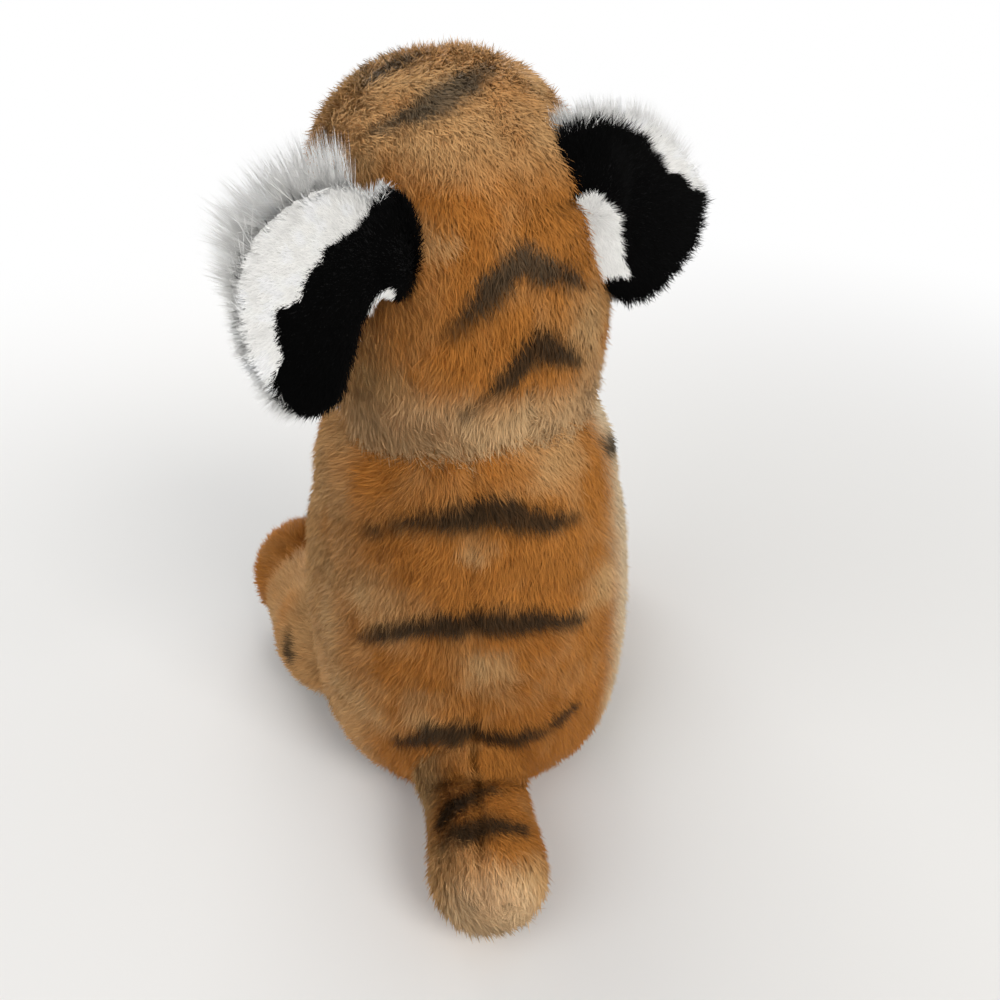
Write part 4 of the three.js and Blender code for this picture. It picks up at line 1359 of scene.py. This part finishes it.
def build_ear(side):
    """A cupped ear of two pads: black and white pile behind, long white hair in front."""
    ear, sign = EARS[side], SIDES[side]
    hinge, turn = PIVOTS[f"{side}_ear_fold"], ear["turn"]
    body = f"{side}_ear"
    place = Matrix.Translation(hinge) @ Matrix.Rotation(turn, 4, "Z")
    middle = ear["middle"]
    longest, count, rim_share = ear["hair"]
    inner_share = 0.5
    seed = SEEDS[body]

    def pad(offset):
        form = merge(pad_form(ear["outline"], middle, EAR_HALF), ball_form(*EAR_ROOT))
        corners = []
        for x, y, z in form[0]:
            away = math.hypot(x - middle[0] * MM, z - middle[1] * MM) / (EAR_CUP_RADIUS * MM)
            corners.append((x, y + sign * (offset - EAR_CUP * away**2) * MM, z))
        return moved((corners, form[1]), place)

    def away_from(x, z):
        """A comb that lays the pile outward from a place on the ear."""
        def comb(points):
            p = to_local(points, hinge, turn)
            return turned(np.stack([p[:, 0] - x, 0 * p[:, 0], p[:, 2] - z], 1), turn)
        return comb

    def facing(way):
        """Pile only on the side of a pad that looks back, 1, or to the front, -1."""
        looks = turned(np.array([[0, sign * way, 0]]), turn)[0]
        return lambda points, normals: step(normals @ looks, -0.5, 0.0)

    def spread(p):
        """How far out each point lies, from 0 in the ear's middle to 1 near its rim."""
        return np.hypot(p[:, 0] - middle[0], p[:, 2] - middle[1]) / EAR_RIM_RADIUS

    def rim(points, normals):
        p = to_local(points, hinge, turn)
        return step(spread(p), 0.55, 0.9) * step(p[:, 0], *ear["hair_from"]) * facing(-1)(points, normals)

    def hair_length(points, normals):
        z = to_local(points, hinge, turn)[:, 2]
        return 0.42 + 0.58 * step(z, 0, 20) + 0.15 * step(-z, 12, 22)

    def back_pile(points, normals):
        p = to_local(points, hinge, turn)
        return inner_share + (rim_share - inner_share) * step(spread(p), 0.7, 1)

    fine = {"voxel": 1.2, "smooth": 3, "depth": 0.4 * MM, "bumps": 0.2}
    coat, white = ear_back_coat(ear, hinge), plain_coat("white")
    back = make_skin(f"{side}_ear_back_skin", pad(EAR_BACK_OFFSET), coat, away_from(-10, 5),
                     cover=facing(1), pile=back_pile, **fine)
    back_fur = grow(back, coat, seed, density=2.2, lean=0.6, width=0.9, light=(0, 0.2, 0.8))
    back_fur.visible_shadow = False
    keep(back_fur, body)
    keep(back, body, (f"{side}_ear_back",))

    lining = make_skin(f"{side}_ear_lining_skin", pad(EAR_LINING_OFFSET), white, away_from(4, -8),
                       cover=facing(-1), pile=even(0.8), **fine)
    keep(grow(lining, white, seed + 1, light=(0, 0, 0.4)), body)
    hair = bpy.data.objects.new(f"{side}_ear_hair_skin", lining.data.copy())
    points, normals = points_of(hair.data), normals_of(hair.data)
    put(hair.data, "cover", "FLOAT", rim(points, normals))
    put(hair.data, "pile", "FLOAT", hair_length(points, normals))
    length = longest * MM / bpy.context.scene.tiger.pile_length
    long_hair = grow(hair, white, seed + 2, length=length, lean=0.78, tangle=0.1,
                     density=count / PILE_DENSITY, width=0.6, bend=0.3, light=(0, 0.8, 1.6))
    long_hair.visible_shadow = False
    keep(long_hair, body)
    bpy.data.objects.remove(hair)
    keep(lining, body, (f"{side}_ear_lining",))


def build_front_legs():
    """Both front legs, which swing on the shoulders' seams."""
    form = lathe_form(limb_profile(FRONT_LEG_BALL, FRONT_LEG_STATIONS))
    for side, sign in SIDES.items():
        body = f"{side}_front_leg"
        slope = Matrix.Rotation(FRONT_LEG_SLOPE, 4, "X")
        inward = Matrix.Rotation(-sign * FRONT_LEG_INWARD, 4, "Z")
        place = Matrix.Translation(PIVOTS[f"{body}_swing"]) @ inward @ slope
        comb = one_way(place.to_3x3() @ Vector((0, -1, 0)))
        coat = arm_coat(place)
        skin = make_skin(f"{body}_skin", moved(form, place), coat, comb, voxel=1.8)
        keep(grow(skin, coat, SEEDS["front_leg"] + sign), body)
        keep(skin, body, (f"{body}_cover", f"{body}_fill"))


def build_hind_legs():
    for side in SIDES:
        build_hind_leg(side)


def build_hind_leg(side):
    """A hind leg with its foot and sole."""
    body = f"{side}_hind_leg"
    hip, turn = PIVOTS[f"{body}_splay"], HIND_SPLAY[side]
    place = Matrix.Translation(hip) @ Matrix.Rotation(turn, 4, "Z")
    form = merge(lathe_form(limb_profile(HIND_LEG_BALL, HIND_LEG_STATIONS)), ball_form(*FOOT))
    comb = one_way(place.to_3x3() @ Vector((0, -1, -0.25)))
    coat = leg_coat(hip, turn)

    def cover(points, normals):
        """No pile behind the sole."""
        p = to_local(points, hip, turn)
        spread = np.hypot(p[:, 0] / SOLE_OPENING[0], (p[:, 2] + 1) / SOLE_OPENING[1])
        return np.maximum(step(spread, 0.85, 1.05), step(p[:, 1], -54, -48))

    skin = make_skin(f"{body}_skin", moved(form, place), coat, comb, cover=cover)
    keep(grow(skin, coat, SEEDS["hind_leg"] + SIDES[side]), body)
    build_sole(side, place)
    keep(skin, body, (f"{body}_cover", f"{body}_fill"))


def build_sole(side, place):
    """The flat pad under a hind foot, of short pile."""
    facing = np.array(place.to_3x3() @ Vector((0, -1, 0)))
    cream = plain_coat("cream")
    skin = make_skin(f"{side}_hind_sole_skin", moved(ball_form(*SOLE), place), cream,
                     one_way((0, 0, -1.0)), voxel=1.4, smooth=3, depth=0.4 * MM, bumps=0.2,
                     pile=even(0.35), cover=lambda points, normals: step(normals @ facing, -0.1, 0.3))
    body = f"{side}_hind_leg"
    keep(grow(skin, cream, SEEDS["sole"] + SIDES[side]), body)
    keep(skin, body, (f"{side}_hind_sole",))


def build_tail():
    """The thick tail, with a waist and a fold where it leaves the seat."""
    droop = Matrix.Rotation(math.asin((TAIL_BALL - TAIL_TIP_RADIUS) / TAIL_TIP_ALONG), 4, "X")
    swing = Matrix.Rotation(TAIL_TURN, 4, "Z")
    place = Matrix.Translation(PIVOTS["tail_wag"]) @ swing @ droop
    comb = one_way(place.to_3x3() @ Vector((0, -1, 0)))

    def grooves(points, normals):
        p = points / MM
        x, y, z = p.T
        seam = ridge(x - 1, 1.5) * (z > 20)
        waist = CREASE_DEPTH["tail_waist"] * ridge(y - 65, 11) * step(z, 8, 30)
        fold = CREASE_DEPTH["tail_fold"] * ridge(tail_crease(p), 2.4) * (z > 22)
        return (seam + waist + fold) * MM

    def pile(points, normals):
        return 0.9 + 0.4 * step(points[:, 1], 0.082, 0.1)

    form = lathe_form(limb_profile(TAIL_BALL, TAIL_STATIONS))
    skin = make_skin("tail_skin", moved(form, place), tail_coat, comb, voxel=1.8, grooves=grooves, pile=pile)
    keep(grow(skin, tail_coat, SEEDS["tail"]), "tail")
    keep(skin, "tail", ("tail_cover", "tail_fill"))


def build_neck():
    """The thread that gathers the neck, deep in the fold under the head."""
    ring = []
    for a in np.linspace(0, 2 * math.pi, 96, endpoint=False):
        across, along = NECK_RING_RADIUS * math.cos(a), NECK_RING_RADIUS * math.sin(a)
        ring.append(NECK + Vector((across, along, NECK_RING_RISE)) * MM)
    thread = new_object("neck_gather", tube_form(ring, NECK_THREAD_RADIUS * MM, closed=True))
    thread.data.materials.append(material_named("neck_thread"))
    keep(thread, "neck", ("neck_thread",))


# Stage


def build_lamp(name, place, target, size, watts, colour):
    """A square soft box that looks at a target."""
    light = bpy.data.lights.new(name, "AREA")
    light.shape, light.size, light.energy, light.color = "SQUARE", size, watts, colour
    lamp = bpy.data.objects.new(name, light)
    lamp.location = place
    lamp.rotation_mode = "QUATERNION"
    lamp.rotation_quaternion = (Vector(target) - Vector(place)).to_track_quat("-Z", "Y")
    bpy.context.scene.collection.objects.link(lamp)
    return lamp


def build_floor():
    """A wide floor."""
    half = FLOOR_HALF
    corners = [(-half, -half, 0), (half, -half, 0), (half, half, 0), (-half, half, 0)]
    floor = new_object("floor", (corners, [(0, 1, 2, 3)]))
    floor.data.materials.append(material_named("floor"))
    return floor


def build_world():
    """Soft light from all sides, which the camera sees as plain white."""
    world = bpy.data.worlds.new("studio")
    world.use_nodes = True
    tree = world.node_tree
    soft = tree.nodes["Background"]
    seen = tree.nodes.new("ShaderNodeBackground")
    for background, strength in ((soft, STUDIO_LIGHT), (seen, 1)):
        background.inputs["Color"].default_value = (1, 1, 1, 1)
        background.inputs["Strength"].default_value = strength
    choice = tree.nodes.new("ShaderNodeMixShader")
    tree.links.new(seen_directly(tree), choice.inputs[0])
    tree.links.new(soft.outputs[0], choice.inputs[1])
    tree.links.new(seen.outputs[0], choice.inputs[2])
    tree.links.new(choice.outputs[0], tree.nodes["World Output"].inputs[0])
    bpy.context.scene.world = world


def build_camera():
    """The camera, at the photo's viewing angle."""
    camera = bpy.data.objects.new("camera", bpy.data.cameras.new("camera"))
    camera.data.sensor_width, camera.data.lens = SENSOR, LENS
    ahead = Vector((-math.sin(AZIMUTH), math.cos(AZIMUTH), 0))
    right = Vector((math.cos(AZIMUTH), math.sin(AZIMUTH), 0))
    above = Vector((0, 0, CAMERA_HEIGHT)) * MM
    camera.location = -(right * CAMERA_ASIDE + ahead * CAMERA_BACK) * MM + above
    look = ahead * math.cos(PITCH) + Vector((0, 0, math.sin(PITCH)))
    camera.rotation_mode = "QUATERNION"
    camera.rotation_quaternion = look.to_track_quat("-Z", "Y")
    camera.data.clip_start, camera.data.clip_end = 0.01, 20
    bpy.context.scene.collection.objects.link(camera)
    bpy.context.scene.camera = camera


def build_stage():
    pieces = [build_floor()]
    for name, settings in LAMPS.items():
        pieces.append(build_lamp(name, *settings))
    build_world()
    build_camera()
    bpy.context.scene.view_settings.view_transform = "Standard"


# The add-on


def colour_property(name, description):
    return FloatVectorProperty(
        name=name,
        description=description,
        subtype="COLOR",
        min=0,
        max=1,
        default=tuple(COLOURS[name.lower().replace(" ", "_")]),
    )


def size_property(name, description, millimetres):
    return FloatProperty(name=name, description=description, default=millimetres * MM, unit="LENGTH")


class TigerSettings(bpy.types.PropertyGroup):
    """Sizes and colours of the pile."""

    pile_length: size_property("Pile length", "Length of a strand", PILE_LENGTH)
    pile_width: size_property("Strand width", "Width of a strand", PILE_WIDTH)
    pile_depth: size_property("Pile depth", "From the backing to the tips", PILE_DEPTH)
    pile_density: FloatProperty(
        name="Density",
        description="Strands on a square millimetre",
        default=PILE_DENSITY,
    )
    seed: IntProperty(name="Seed", description="Start of the random numbers", default=7)
    tan: colour_property("Tan", "Back, head and limbs")
    pale_tan: colour_property("Pale tan", "Flanks, nape and tail tip")
    cream: colour_property("Cream", "Belly and soles")
    white: colour_property("White", "Muzzle, cheeks and ears")
    stripe: colour_property("Stripe", "Printed stripes")
    black: colour_property("Black", "Patches on the ears' backs")


def operator(name, label, doc, build):
    """An operator class that builds one piece or group of like pieces."""

    def execute(self, context):
        build()
        return {"FINISHED"}

    return type(
        f"TIGER_OT_{name}",
        (bpy.types.Operator,),
        {"bl_idname": f"tiger.{name}", "bl_label": label, "__doc__": doc, "execute": execute},
    )


OPERATORS = [
    operator("body", "Body", "Build the stuffed body", build_body),
    operator("head", "Head", "Build the stuffed head", build_head),
    operator("muzzle", "Muzzle", "Build the muzzle, nose and mouth", build_muzzle),
    operator("eyes", "Eyes", "Build the button eyes", build_eyes),
    operator("ears", "Ears", "Build both ears", build_ears),
    operator("front_legs", "Front legs", "Build both front legs", build_front_legs),
    operator("hind_legs", "Hind legs", "Build both hind legs with their soles", build_hind_legs),
    operator("tail", "Tail", "Build the tail", build_tail),
    operator("neck", "Neck thread", "Build the gathering thread", build_neck),
    operator("stage", "Stage", "Build the floor, lights and camera", build_stage),
]


class TIGER_PT_panel(bpy.types.Panel):
    """Sidebar panel with the pile's sizes and one button for each piece."""

    bl_label = "Plush Tiger"
    bl_space_type = "VIEW_3D"
    bl_region_type = "UI"
    bl_category = "Tiger"

    def draw(self, context):
        settings = context.scene.tiger
        for name in TigerSettings.__annotations__:
            self.layout.prop(settings, name)
        for made in OPERATORS:
            self.layout.operator(made.bl_idname)


CLASSES = [TigerSettings, *OPERATORS, TIGER_PT_panel]


def register():
    for made in CLASSES:
        bpy.utils.register_class(made)
    bpy.types.Scene.tiger = PointerProperty(type=TigerSettings)


def unregister():
    del bpy.types.Scene.tiger
    for made in reversed(CLASSES):
        bpy.utils.unregister_class(made)


def main():
    """Builds everything in order and writes the boxes of the solids and of the finished toy."""
    register()
    for made in OPERATORS:
        getattr(bpy.ops.tiger, made.bl_idname.split(".")[1])()
    strand = bpy.data.objects.get("strand_template")
    if strand:
        bpy.data.objects.remove(strand)


if __name__ == "__main__":
    main()
